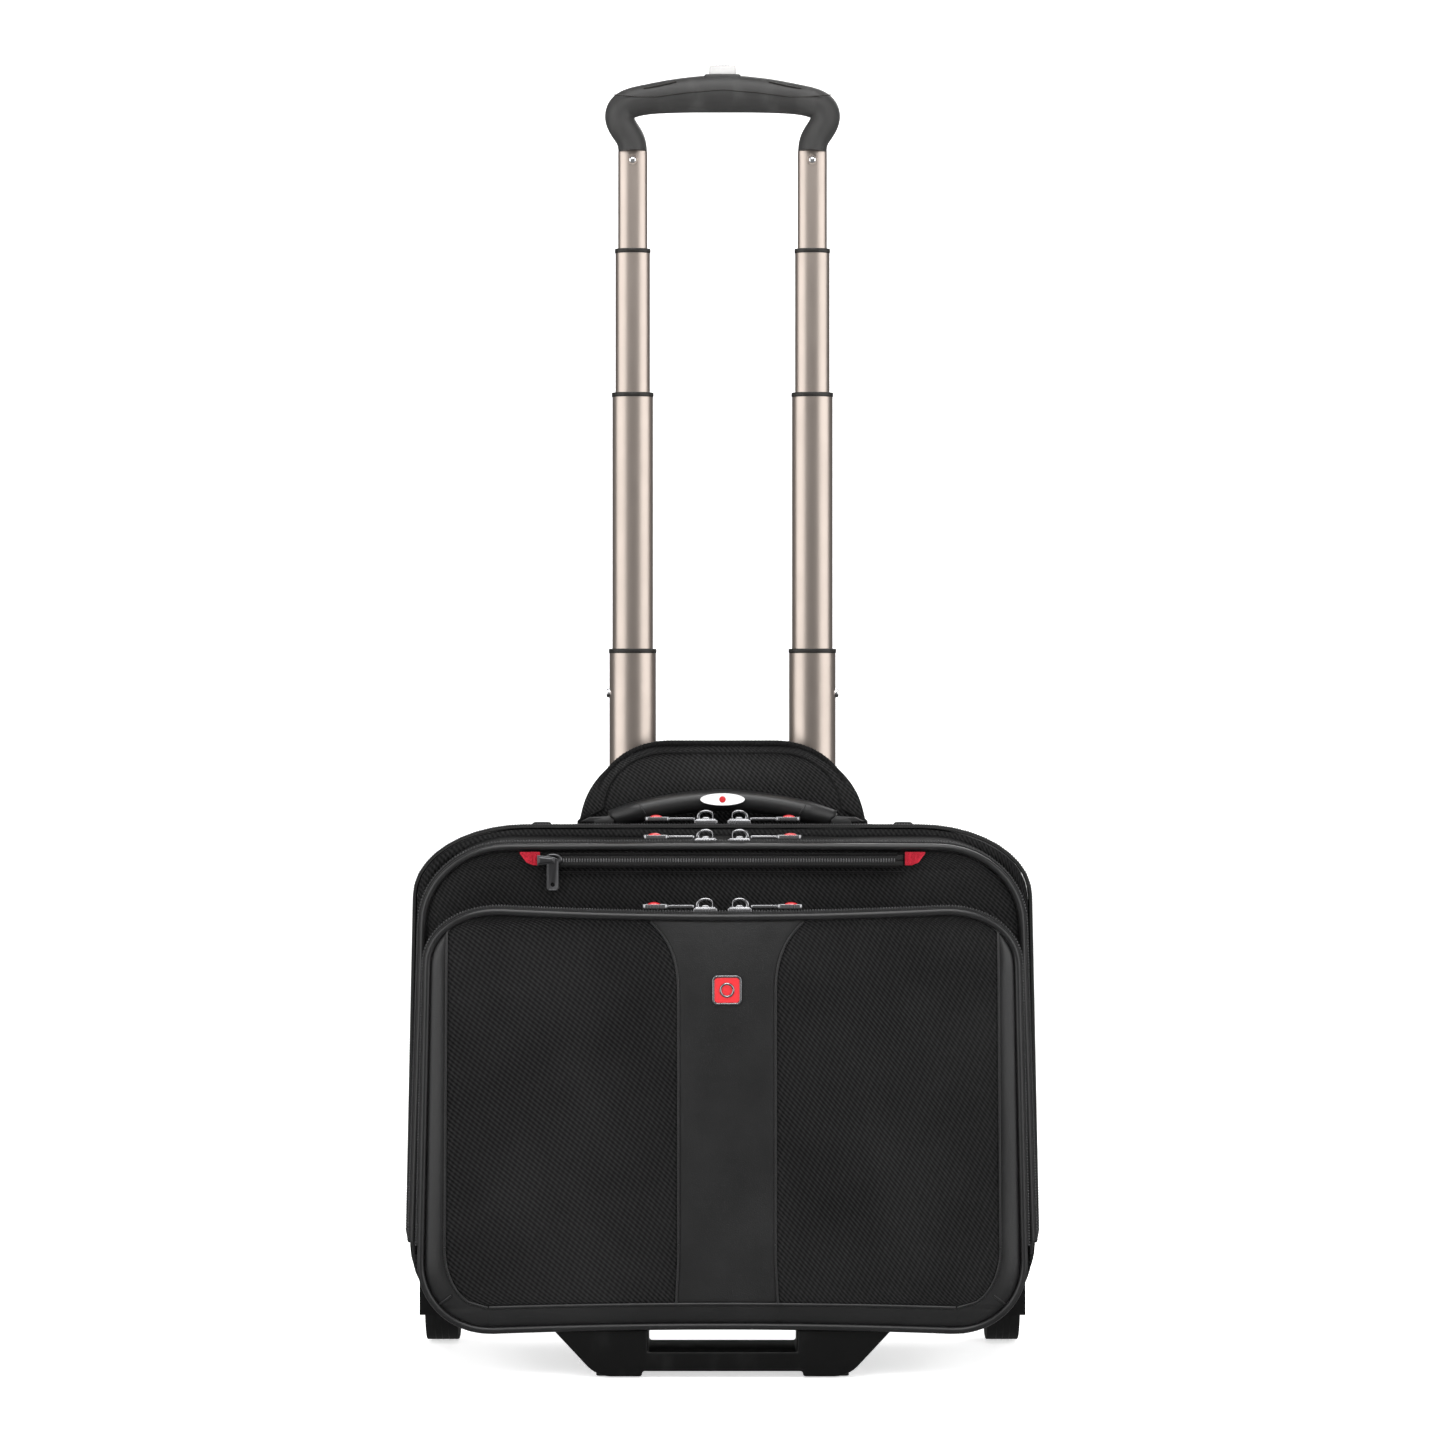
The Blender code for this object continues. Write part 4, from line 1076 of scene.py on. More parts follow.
@dataclass
class ZipChain:
    """One half of a coil zip: its tape, its row of coil and the stitches that hold it."""

    name: str
    outline: Outline
    z_low: float
    y: float
    side: int
    tape: float = 5.2 * MM
    pitch: float = 1.9 * MM
    proud: float = 4.4 * MM

    def build(self) -> list[bpy.types.Object]:
        """Makes the half chain on the outline, its tape running to one side in Y.

        Returns:
            The tape and the row of coil.
        """
        path = self.outline.path(3 * MM, self.z_low)
        lip = self.y + self.side * 0.12 * MM
        far = self.y + self.side * (self.tape + 0.5 * MM)
        profile = [(self.proud, lip), (self.proud * 0.8, (lip + far) / 2), (0.1 * MM, far)]
        tape = sweep(f"{self.name}_tape", path, profile, False)
        finish_cloth(tidy_normals(tape, None), "tape", 0.7 * MM, 0.0)
        stitches = rope(f"{self.name}_stitch",
                        at_depth(path, (lip + far) / 2, self.proud * 0.8 + 0.35 * MM), 0.28 * MM,
                        "thread", False, 1.0, 1)
        return [tape, self.coil(), stitches]

    def coil(self) -> bpy.types.Object:
        """One row of coil, modelled as a single bent tooth that's repeated."""
        tooth = Bench("tooth")
        tooth.box((-0.45 * MM, -0.2 * MM, -0.5 * MM), (0.45 * MM, 2.2 * MM, 0.75 * MM))
        tooth.soften(0.28 * MM, 1)

        def place(spot: Point, away: Point, corner: Vector) -> tuple[float, float, float]:
            along, across, up = corner
            return (spot[0] + away[1] * along + away[0] * (up + self.proud),
                    self.y + self.side * (across - 0.4 * MM),
                    spot[1] - away[0] * along + away[1] * (up + self.proud))
        path = resample(self.outline.path(3 * MM, self.z_low), self.pitch, False)
        return strew(f"{self.name}_coil", tooth, path, place, "coil")


# ---- the case's sub-assemblies ------------------------------------------------------------
@dataclass
class Layout:
    """The outlines and depths that the soft pieces share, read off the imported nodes."""

    fold: float = 88 * MM
    organiser: Outline = field(init=False)
    main: Outline = field(init=False)
    rear: Outline = field(init=False)

    def __post_init__(self) -> None:
        """Reads the nodes' boxes."""
        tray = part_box("front_tray")
        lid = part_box("organiser_lid_panel")
        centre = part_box("centre_gusset")
        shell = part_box("rear_shell")
        self.front_y = lid[0][1]
        self.cover_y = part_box("main_cover_panel")[0][1]
        self.centre_y = centre[0][1]
        self.rear_y = shell[0][1]
        self.back_y = shell[1][1]
        self.organiser = Outline(197 * MM, tray[1][0], tray[0][2] - 2 * MM, lid[1][2] + 6.3 * MM,
                                 (50 * MM, 38 * MM), (48 * MM, 46 * MM), 7 * MM, 5 * MM)
        self.main = Outline(202 * MM, centre[1][0], tray[0][2] - 1 * MM, centre[1][2],
                            (56 * MM, 51 * MM), (50 * MM, 46 * MM), -1 * MM, 4 * MM)
        self.rear = Outline(212 * MM, shell[1][0], shell[0][2] - 1 * MM, shell[1][2],
                            (76 * MM, 47 * MM), (52 * MM, 46 * MM), 0.0, 4 * MM)


@dataclass
class FrontOrganiser:
    """The organiser's lid, its tray below the fold, its piping, gusset and zip."""

    plan: Layout
    strip_shift: float = 3 * MM
    strip_half: float = 32.5 * MM
    flare: float = 22 * MM
    side_seam: float = 184.5 * MM
    band_z: float = 46 * MM
    corner: Point = (29 * MM, 40 * MM)
    slant: float = 250 * MM
    piping: float = 2.4 * MM
    crown: float = 5.2 * MM
    roll: float = 54 * MM
    depth: float = 4.9 * MM

    def surface(self, x: float, z: float) -> float:
        """The depth of the padded front, just proud of its cloth."""
        swell = swell_at(self.plan.organiser, x, z, self.roll)
        return self.plan.front_y + self.depth - self.crown * swell - 0.3 * MM

    def strip_edge(self, sign: int) -> Callable[[float], float]:
        """The edge of the centre strip, flared at the top."""
        top = self.plan.organiser.z_top

        def edge(z: float) -> float:
            near = max(0.0, 1 - (top - z) / (62 * MM))
            foot = max(0.0, 1 - (z - self.band_z) / (30 * MM))
            half = self.strip_half + self.flare * near ** 3.2 + 1.5 * MM * foot
            return self.strip_shift + sign * half
        return edge

    def side_edge(self, sign: int) -> Callable[[float], float]:
        """The inner edge of a side strip, which turns in at the foot."""
        outline = self.plan.organiser
        rx, rz = self.corner

        def edge(z: float) -> float:
            x = self.side_seam + 1.6 * MM * (1 - (z - self.band_z) / self.slant)
            past = self.band_z + rz - z
            if past > 0:
                x -= rx * (1 - math.sqrt(max(0.0, 1 - min(1.0, past / rz) ** 2)))
            return sign * min(x, outline.half_at(z) - 1 * MM)
        return edge

    def face(self) -> None:
        """The padded front, in vinyl and twill, cut at the fold."""
        seams = [self.side_edge(-1), self.strip_edge(-1), self.strip_edge(1), self.side_edge(1)]
        band = self.band_z
        panel = Panel("organiser_front", self.plan.organiser, self.plan.front_y + self.depth, -1,
                      seams, (5, 24, 12, 24, 5), ("twill", "vinyl", "lining"),
                      lambda k, x, z: 0 if k in (1, 3) and z > band else 1,
                      (band,), Puff(4.0, 3.2 * MM), self.crown, roll=self.roll).build()
        low, high = split_at(panel, self.plan.fold, "tray_front", "organiser_lid_front")
        keep(low, "case", "nylon")
        keep(high, "organiser_lid", "nylon", "organiser_lid_panel")

    def seams(self) -> None:
        """The rolled edge beside each vinyl strip."""
        outline = self.plan.organiser
        low, high = self.band_z, outline.z_top - 3 * MM
        for sign in (-1, 1):
            for tag, edge in (("strip", self.strip_edge(sign)), ("side", self.side_edge(sign))):
                self.edge_line(f"{tag}_edge", sign, edge, low, high)
        band = [(x * MM, self.band_z) for x in range(-156, 157, 6)]
        self.line("band_edge", "case", band, 1.1 * MM)
        for word in Word:
            mitre = [(word.sign * (190.3 - 2.2 * k) * MM, (48.3 + 1.7 * k) * MM) for k in range(5)]
            self.line(f"corner_seam_{word.value}", "case", mitre, 0.8 * MM)

    def line(self, name: str, body: str, places: Iterable[Point], radius: float) -> None:
        """A rolled seam that lies on the padded front."""
        points = []
        for x, z in places:
            settled = self.plan.organiser.settle(x, z)
            points.append((settled[0], self.surface(x, z), settled[1]))
        keep(rope(name, points, radius, "vinyl"), body, "vinyl")

    def edge_line(self, tag: str, sign: int, edge: Callable[[float], float], low: float,
                  high: float) -> None:
        """One rolled edge, in its part below the fold and its part above."""
        word = Word.LEFT.value if sign < 0 else Word.RIGHT.value
        for part, body, start, end in (("tray", "case", low, self.plan.fold - 0.2 * MM),
                                       ("lid", "organiser_lid", self.plan.fold + 0.2 * MM, high)):
            count = max(3, round((end - start) / (4 * MM)))
            heights = [start + (end - start) * i / count for i in range(count + 1)]
            self.line(f"{part}_{tag}_{word}", body, [(edge(z), z) for z in heights], 0.9 * MM)

    def border(self) -> None:
        """The piping round the front, cut at the fold."""
        path = self.plan.organiser.path(3 * MM)
        y = self.plan.front_y + 3.6 * MM
        ring = rope("organiser_piping", at_depth(path, y, 0.7 * MM), self.piping, "piping", True)
        low, high = split_at(ring, self.plan.fold, "tray_piping", "lid_piping_cord")
        keep(low, "case", "vinyl")
        keep(high, "organiser_lid", "vinyl", "lid_piping")

    def walls(self) -> None:
        """The organiser's gusset on the cover, and the tray's wall below the fold."""
        outline, plan = self.plan.organiser, self.plan
        path = outline.path(4 * MM, plan.fold + 0.6 * MM)
        chain = plan.front_y + 10 * MM
        profile = [(-0.2 * MM, chain + 2.2 * MM), (0.1 * MM, chain + 6 * MM),
                   (0.9 * MM, chain + 9 * MM), (0.8 * MM, plan.cover_y - 6 * MM),
                   (0.0, plan.cover_y - 1 * MM)]
        gusset = finish_cloth(sweep("organiser_wall", path, profile, False, False, 1.1 * MM),
                              "twill", 1.4 * MM, -1, "lining")
        keep(gusset, "main_cover", "nylon", "organiser_gusset")
        for tag, side, body, nodes in (("lid", -1, "organiser_lid", ()), ("wall", 1, "main_cover",
                                                                         ("zip_organiser",))):
            for piece in ZipChain(f"organiser_zip_{tag}", outline, plan.fold + 0.6 * MM, chain,
                                  side, 4.6 * MM).build():
                keep(piece, body, "zip", *nodes)
                nodes = ()
        tray = [p for p in outline.path(4 * MM) if p[1] < plan.fold - 0.4 * MM]
        tray.sort(key=lambda p: math.atan2(p[0], outline.z_top - p[1]))
        low = [(-outline.half_at(plan.fold), plan.fold - 0.3 * MM), *tray,
               (outline.half_at(plan.fold), plan.fold - 0.3 * MM)]
        low.reverse()
        profile = [(0.2 * MM, plan.front_y + 5 * MM), (1.2 * MM, plan.front_y + 16 * MM),
                   (1.5 * MM, plan.cover_y), (2.5 * MM, plan.centre_y)]
        wall = finish_cloth(sweep("tray_wall", low, profile, False, False, 0.8 * MM), "twill",
                            1.6 * MM, -1, "lining")
        keep(wall, "case", "nylon", "front_tray")

    def build(self) -> None:
        """Builds the whole organiser."""
        self.face()
        self.seams()
        self.border()
        self.walls()


@dataclass
class MainCompartment:
    """The main cover and the middle band of the case, with its zip, piping and divider."""

    plan: Layout
    piping: float = 2.5 * MM

    def cover(self) -> None:
        """The padded cover behind the organiser."""
        plan = self.plan
        outline = replace(plan.main, z_bottom=plan.fold + 0.8 * MM, bottom_corner=(MM, MM),
                          lift=0.0, half_bottom=plan.main.half_at(plan.fold))
        panel = Panel("main_cover_face", outline, plan.cover_y + 4 * MM, -1, (), (60,),
                      ("twill", "lining"),
                      lambda k, x, z: 0, (plan.main.z_top - 14.5 * MM,), Puff(4.0, 2.6 * MM),
                      2.5 * MM).build()
        keep(panel, "main_cover", "nylon", "main_cover_panel")
        path = plan.main.path(3 * MM, plan.fold + 0.4 * MM)
        cord = rope("main_piping_cord", at_depth(path, plan.cover_y + 2.2 * MM, 0.5 * MM),
                    self.piping, "piping")
        keep(cord, "main_cover", "vinyl", "cover_piping")

    def middle(self) -> None:
        """The middle band and its lining."""
        plan = self.plan
        path = plan.main.path(4 * MM)
        away = plan.rear_y - 4 * MM
        span = away - plan.centre_y
        profile = [(0.4 * MM, plan.cover_y + 11.4 * MM), (1.0 * MM, plan.centre_y + 3 * MM),
                   (2.4 * MM, plan.centre_y + 0.3 * span),
                   (4.2 * MM, plan.centre_y + 0.6 * span), (5.6 * MM, plan.centre_y + 0.85 * span),
                   (6.4 * MM, away), (-3.8 * MM, away + 0.2 * MM)]
        band = finish_cloth(sweep("middle_band", path, profile, True, False, 1.6 * MM), "twill",
                            1.8 * MM, -1, "lining")
        keep(band, "case", "nylon", "centre_gusset")
        for tag, side, body, nodes in (("cover", -1, "main_cover", ("zip_main",)),
                                       ("band", 1, "case", ())):
            for piece in ZipChain(f"main_zip_{tag}", plan.main, plan.fold + 0.4 * MM,
                                  plan.cover_y + 9.2 * MM, side, 4.4 * MM).build():
                keep(piece, body, "zip", *nodes)
                nodes = ()

    def divider(self) -> None:
        """The padded wall between the two compartments."""
        low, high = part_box("compartment_divider")
        outline = replace(self.plan.main.inset(4.2 * MM), sag=0.0, lift=0.0)
        panel = Panel("divider_pad", outline, low[1] + 2.5 * MM, -1, (), (48,),
                      ("lining", "lining"),
                      lambda k, x, z: 0, (0.19,), Puff(4.0, 3 * MM), 2 * MM).build()
        keep(panel, "case", "nylon", "compartment_divider")

    def build(self) -> None:
        """Builds the compartment."""
        self.cover()
        self.middle()
        self.divider()


@dataclass
class RearShell:
    """The back of the case: its side band, rear zip, back panel and top studs."""

    plan: Layout
    round_in: float = 14 * MM

    def band(self) -> None:
        """The side band, rounded in to the back."""
        plan = self.plan
        path = plan.rear.path(4 * MM)
        deep = plan.back_y - plan.rear_y
        profile = [(-0.6 * MM, plan.rear_y + 2.6 * MM), (-0.4 * MM, plan.rear_y + 5.5 * MM),
                   (0.6 * MM, plan.rear_y + 0.15 * deep),
                   (0.8 * MM, plan.rear_y + 0.4 * deep), (0.4 * MM, plan.rear_y + 0.65 * deep),
                   (-0.6 * MM, plan.rear_y + 0.8 * deep)]
        for i in range(1, 7):
            a = QUARTER * i / 6
            profile.append((-0.8 * MM - self.round_in * (1 - math.cos(a)),
                            plan.back_y - self.round_in - 2 * MM + self.round_in * math.sin(a)))
        shell = finish_cloth(sweep("rear_band", path, profile, True, False, 1.0 * MM), "twill",
                             2.0 * MM, -1, "lining")
        self.open_slot(shell)
        keep(shell, "case", "nylon", "rear_shell")
        welt = [(-9 * MM, plan.rear_y - 5.6 * MM), (-0.9 * MM, plan.rear_y - 5.2 * MM),
                (-1.0 * MM, plan.rear_y + 3.4 * MM)]
        keep(finish_cloth(sweep("rear_welt", path, welt, True, False), "twill", 0.8 * MM, -1,
                          "lining"), "case", "nylon")
        for tag, side, nodes in (("front", -1, ("zip_rear",)), ("back", 1, ())):
            for piece in ZipChain(f"rear_zip_{tag}", plan.rear, plan.fold + 0.4 * MM,
                                  plan.rear_y + 0.4 * MM, side, 4.4 * MM, proud=2.2 * MM).build():
                keep(piece, "case", "zip", *nodes)
                nodes = ()

    def studs(self) -> None:
        """The rubber buttons on the top that the case rests on when it's laid down."""
        for word in Word:
            centre = (word.sign * 126 * MM, self.plan.rear_y + 22 * MM)
            top = self.plan.rear.z_top - 1 * MM
            stud = Bench(f"top_stud_{word.value}").drum(6.6 * MM, (*centre, top - 4 * MM),
                                                        (*centre, top + 4.6 * MM), 32)
            stud.soften(1.6 * MM, 4).dress("rubber", 40)
            keep(stud, "case", "tyre")

    def open_slot(self, shell: bpy.types.Object) -> None:
        """Cuts the opening in the top that the tubes pass through."""
        low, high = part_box("bracket_top")
        whole = Bench("rear_band").take(shell)
        slot = Bench("slot").box((low[0] - 0.3 * MM, low[1] - 0.3 * MM, high[2] - 9 * MM),
                                 (high[0] + 0.3 * MM, high[1] + 0.3 * MM, high[2] + 9 * MM))
        whole.cut(slot)

    def back(self) -> None:
        """The padded back panel with its sewn channels."""
        plan = self.plan
        outline = replace(plan.rear.inset(self.round_in - 1 * MM), sag=0.0, lift=0.0)
        seams = [lambda z: -0.075, lambda z: 0.075]
        panel = Panel("back_panel", outline, plan.back_y - 2.5 * MM, 1, seams, (20, 22, 20),
                      ("twill", "vinyl", "lining"), lambda k, x, z: 1 if z < 0.09 else 0, (0.09,),
                      Puff(4.0, 2.4 * MM), 1.5 * MM).build()
        keep(panel, "case", "nylon")
        path = outline.path(3 * MM)
        keep(rope("back_piping", at_depth(path, plan.back_y - 1.2 * MM, 0.6 * MM), 1.9 * MM,
                  "piping", True),
             "case", "vinyl")

    def build(self) -> None:
        """Builds the shell."""
        self.band()
        self.back()
        self.studs()


@dataclass
class SlipPocket:
    """The flat pocket across the top of the cover: flap, zip and ribbed end tabs."""

    plan: Layout
    half: float = 122 * MM
    width: float = 6.4 * MM

    def build(self) -> None:
        """Builds the pocket's opening."""
        low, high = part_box("zip_slip_pocket")
        z, y = (low[2] + high[2]) / 2, low[1]
        for sign, tag in ((1, "upper"), (-1, "lower")):
            tape = Bench(f"slip_tape_{tag}")
            near, far = sorted((z + sign * 0.2 * MM, z + sign * self.width * 0.55))
            tape.box((-self.half, y - 0.7 * MM, near),
                     (self.half, y + 1.6 * MM, far)).soften(0.5 * MM, 2)
            tape.dress("tape")
            keep(tape, "main_cover", "zip", *(("zip_slip_pocket",) if sign > 0 else ()))
            lip = [(x * MM, y - 0.6 * MM, z + sign * self.width * 0.62)
                   for x in range(-118, 119, 4)]
            keep(rope(f"slip_lip_{tag}", lip, 1.0 * MM, "twill", False, 0.8), "main_cover", "nylon")
        self.teeth(z, y)
        flap = [(x * MM, y - 0.4 * MM + 0.2 * MM * math.sin(x / 9), z - 8.2 * MM)
                for x in range(-122, 123, 4)]
        keep(rope("flap_seam", flap, 0.8 * MM, "twill"), "main_cover", "nylon")
        for word in Word:
            self.tab(word, z, y)

    def teeth(self, z: float, y: float) -> None:
        """The pocket zip's coil."""
        tooth = Bench("slip_coil").box((-0.5 * MM, y - 1.4 * MM, z - 1.3 * MM),
                                       (0.5 * MM, y - 0.4 * MM, z + 1.3 * MM))
        tooth.soften(0.3 * MM, 1)
        with tooth.editing():
            bpy.ops.mesh.select_all(action="SELECT")
            bpy.ops.transform.translate(value=(-self.half + 4 * MM, 0, 0))
        row = tooth.piece.modifiers.new("row", "ARRAY")
        row.use_relative_offset = False
        row.use_constant_offset = True
        row.constant_offset_displace = (1.8 * MM, 0, 0)
        row.count = round((2 * self.half - 8 * MM) / (1.8 * MM))
        tooth.apply(row).dress("coil", 60)
        keep(tooth, "main_cover", "zip")

    def tab(self, word: Word, z: float, y: float) -> None:
        """A red ribbed tab at one end of the zip, folded to a point."""
        x = word.sign * (self.half + 8 * MM)
        top = z + 5.6 * MM
        tab = Bench(f"red_tab_{word.value}")
        tab.box((x - 6.8 * MM, y - 1.6 * MM, z - 3.4 * MM), (x + 6.8 * MM, y + 0.6 * MM, top))
        with tab.editing():
            bpy.ops.mesh.select_all(action="SELECT")
            bpy.ops.mesh.subdivide(number_cuts=2)
            for place, share in ((2.2, 0.8), (6.8, 0.12)):
                tab.pick(lambda c, n, at=place: abs((c.x - x) * word.sign - at * MM) < MM, "VERT")
                bpy.ops.transform.resize(value=(1, 1, share), center_override=(x, y, top))
        tab.soften(0.7 * MM, 3).dress("red_cloth")
        keep(tab, "main_cover", "nylon")
        ribs = []
        for k in range(6):
            place = x + word.sign * (2.1 * k - 5.6) * MM
            low = top - (8.8 - 0.16 * k * k - 0.75 * k) * MM
            ribs.append(Bench(f"rib_{k}").drum(0.55 * MM, (place, y - 1.6 * MM, low),
                                               (place, y - 1.6 * MM, top), 8))
        ribs[0].join(*ribs[1:]).dress("red_cloth")
        ribs[0].piece.name = f"tab_ribs_{word.value}"
        keep(ribs[0], "main_cover", "nylon")


@dataclass
class Pulls:
    """The zip sliders and their pulls, in a pair on each long zip."""

    rise: dict = field(default_factory=lambda: {"organiser": 4.6 * MM, "main": 5.2 * MM,
                                                "rear": 3.6 * MM})

    def row(self, family: str) -> None:
        """A pair of sliders that meet at the middle of one zip."""
        for word in Word:
            self.slider(f"{family}_{word.value}", word, self.rise[family])
            self.pull(f"{family}_{word.value}", word, self.rise[family])

    def slider(self, stem: str, word: Word, rise: float) -> None:
        """The slider's body with its channel, bridge and standing ring."""
        low, high = (corner + Vector((0, 0, rise * 0.5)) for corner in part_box(f"{stem}_slider"))
        x, y = (low[0] + high[0]) / 2, (low[1] + high[1]) / 2
        half = (high[0] - low[0]) / 2
        body = Bench(f"{stem}_slider_body").box((x - half, low[1] + 0.4 * MM, low[2]),
                                                (x + half, high[1] - 0.4 * MM, low[2] + 3.2 * MM))
        with body.editing():
            body.pick(lambda c, n: n.x * word.sign < -0.9)
            bpy.ops.transform.resize(value=(1, 0.62, 1), center_override=(x, y, low[2]))
            body.pick(lambda c, n: n.z > 0.9)
            body.inset(1.1 * MM)
            body.extrude((0, 0, 0.9 * MM))
        body.soften(0.6 * MM, 3).dress("gunmetal")
        keep(body, f"{stem}_slider", "chrome", f"{stem}_slider")
        tall = high[2] - low[2]
        ring = Bench(f"{stem}_ring").ring((tall - 1.8 * MM) / 2, 0.85 * MM,
                                          (x, y, low[2] + tall / 2 + 0.6 * MM),
                                         TO_FRONT, 36, 10)
        ring.stretch((1.35, 1, 1), (x, y, low[2]))
        with ring.editing():
            ring.pick(lambda c, n: (c.x - x) * word.sign < -3.4 * MM, "VERT")
            bpy.ops.transform.resize(value=(0.35, 1, 1),
                                     center_override=(x - word.sign * 4.5 * MM, y, low[2]))
        ring.dress("gunmetal", 60)
        keep(ring, f"{stem}_slider", "chrome")
        bridge = Bench(f"{stem}_bridge").box((x - 2.6 * MM, y - 1.1 * MM, low[2] + 2.6 * MM),
                                             (x + 2.6 * MM, y + 1.1 * MM, low[2] + 5.4 * MM))
        bridge.soften(1.0 * MM, 3).dress("gunmetal")
        keep(bridge, f"{stem}_slider", "chrome")

    def pull(self, stem: str, word: Word, rise: float) -> None:
        """The link, the rounded tab and its red dome."""
        low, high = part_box(f"{stem}_pull")
        y, z = (low[1] + high[1]) / 2, (low[2] + high[2]) / 2 + rise
        near, far = (low[0], high[0]) if word.sign > 0 else (high[0], low[0])
        split = near + word.sign * 16.5 * MM
        link = Bench(f"{stem}_link").card((abs(split - near) / 2 + 1.2 * MM, 1.9 * MM),
                                          ((near + split) / 2, y, z + 0.9 * MM))
        link.round_corners(lambda c, n: True, 1.6 * MM, 5)
        with link.editing():
            bpy.ops.mesh.select_all(action="SELECT")
            bpy.ops.mesh.normals_make_consistent(inside=False)
            link.inset(0.95 * MM)
            bpy.ops.mesh.delete(type="FACE")
        link.thicken(2.0 * MM, 0).soften(0.45 * MM, 2).dress("gunmetal")
        keep(link, f"{stem}_pull", "gunmetal", f"{stem}_pull")
        middle = (split + far) / 2
        tab = Bench(f"{stem}_tab").slab((abs(far - split) / 2, 2.9 * MM), (middle, y, z + 0.9 * MM),
                                        (0, 0, 0), 2.6 * MM, 2.8 * MM)
        with tab.editing():
            tab.pick(lambda c, n: n.z > 0.9)
            tab.inset(0.8 * MM)
            tab.extrude((0, 0, -0.4 * MM))
        tab.soften(0.3 * MM, 2).dress("gunmetal")
        keep(tab, f"{stem}_pull", "gunmetal")
        dome = Bench(f"{stem}_dome").dome((middle + word.sign * 0.8 * MM, y, z + 1.6 * MM),
                                          (4.6 * MM, 2.7 * MM, 2.1 * MM))
        dome.dress("red_enamel", 60)
        keep(dome, f"{stem}_pull", "badge_red")

    def slip(self) -> None:
        """The small slider of the flat pocket and its hanging tab with a hole."""
        low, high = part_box("slip_slider")
        body = Bench("slip_slider_body").box(low, high)
        with body.editing():
            body.pick(lambda c, n: n.x > 0.9)
            bpy.ops.transform.resize(value=(1, 0.8, 0.6), center_override=((low + high) / 2))
            body.pick(lambda c, n: n.y < -0.9)
            body.inset(1.2 * MM)
            body.extrude((0, -0.8 * MM, 0))
        body.soften(0.7 * MM, 3).dress("black_nickel")
        keep(body, "slip_slider", "gunmetal", "slip_slider")
        low, high = (corner + Vector((0, -0.4 * MM, 5.5 * MM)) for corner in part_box("slip_pull"))
        x, y, z = (low + high) / 2
        ring = Bench("slip_ring").ring(4.0 * MM, 1.0 * MM, (x, y + 1.2 * MM, high[2] - 1 * MM),
                                       TO_FRONT, 36, 10)
        ring.stretch((1.3, 1, 0.8), (x, y, high[2] - 1 * MM))
        keep(ring.dress("black_nickel", 60), "slip_slider", "gunmetal")
        tab = Bench("slip_tab").slab(((high[0] - low[0]) / 2, (high[2] - low[2]) / 2), (x, y, z),
                                     TO_FRONT, 2.2 * MM, 1.5 * MM)
        with tab.editing():
            tab.pick(lambda c, n: n.y < -0.9)
            tab.inset(0.9 * MM)
            tab.extrude((0, 0.3 * MM, 0))
        tab.cut(Bench("hole").drum(1.5 * MM, (x, y - 4 * MM, low[2] + 4 * MM),
                                   (x, y + 4 * MM, low[2] + 4 * MM)))
        tab.soften(0.3 * MM, 2).dress("black_nickel")
        keep(tab, "slip_pull", "gunmetal", "slip_pull")

    def stops(self, plan: Layout) -> None:
        """The folded tape tabs at the low ends of the two side zips."""
        for name, outline, y in (("main", plan.main, plan.cover_y + 9 * MM),
                                 ("rear", plan.rear, plan.rear_y)):
            for word in Word:
                x = word.sign * (outline.half_at(plan.fold) + 1.4 * MM)
                stop = Bench(f"{name}_stop_{word.value}")
                stop.box((x - 1.8 * MM, y - 5 * MM, plan.fold - 9 * MM),
                         (x + 1.8 * MM, y + 5 * MM, plan.fold + 1 * MM))
                with stop.editing():
                    stop.pick(lambda c, n: n.z < -0.9)
                    bpy.ops.transform.resize(value=(0.5, 0.8, 1),
                                             center_override=(x - word.sign * 1.5 * MM, y, 0))
                stop.soften(1.1 * MM, 3).dress("vinyl")
                keep(stop, "case", "vinyl")

    def build(self, plan: Layout) -> None:
        """Builds every slider."""
        for family in ("organiser", "main", "rear"):
            self.row(family)
        self.slip()
        self.stops(plan)


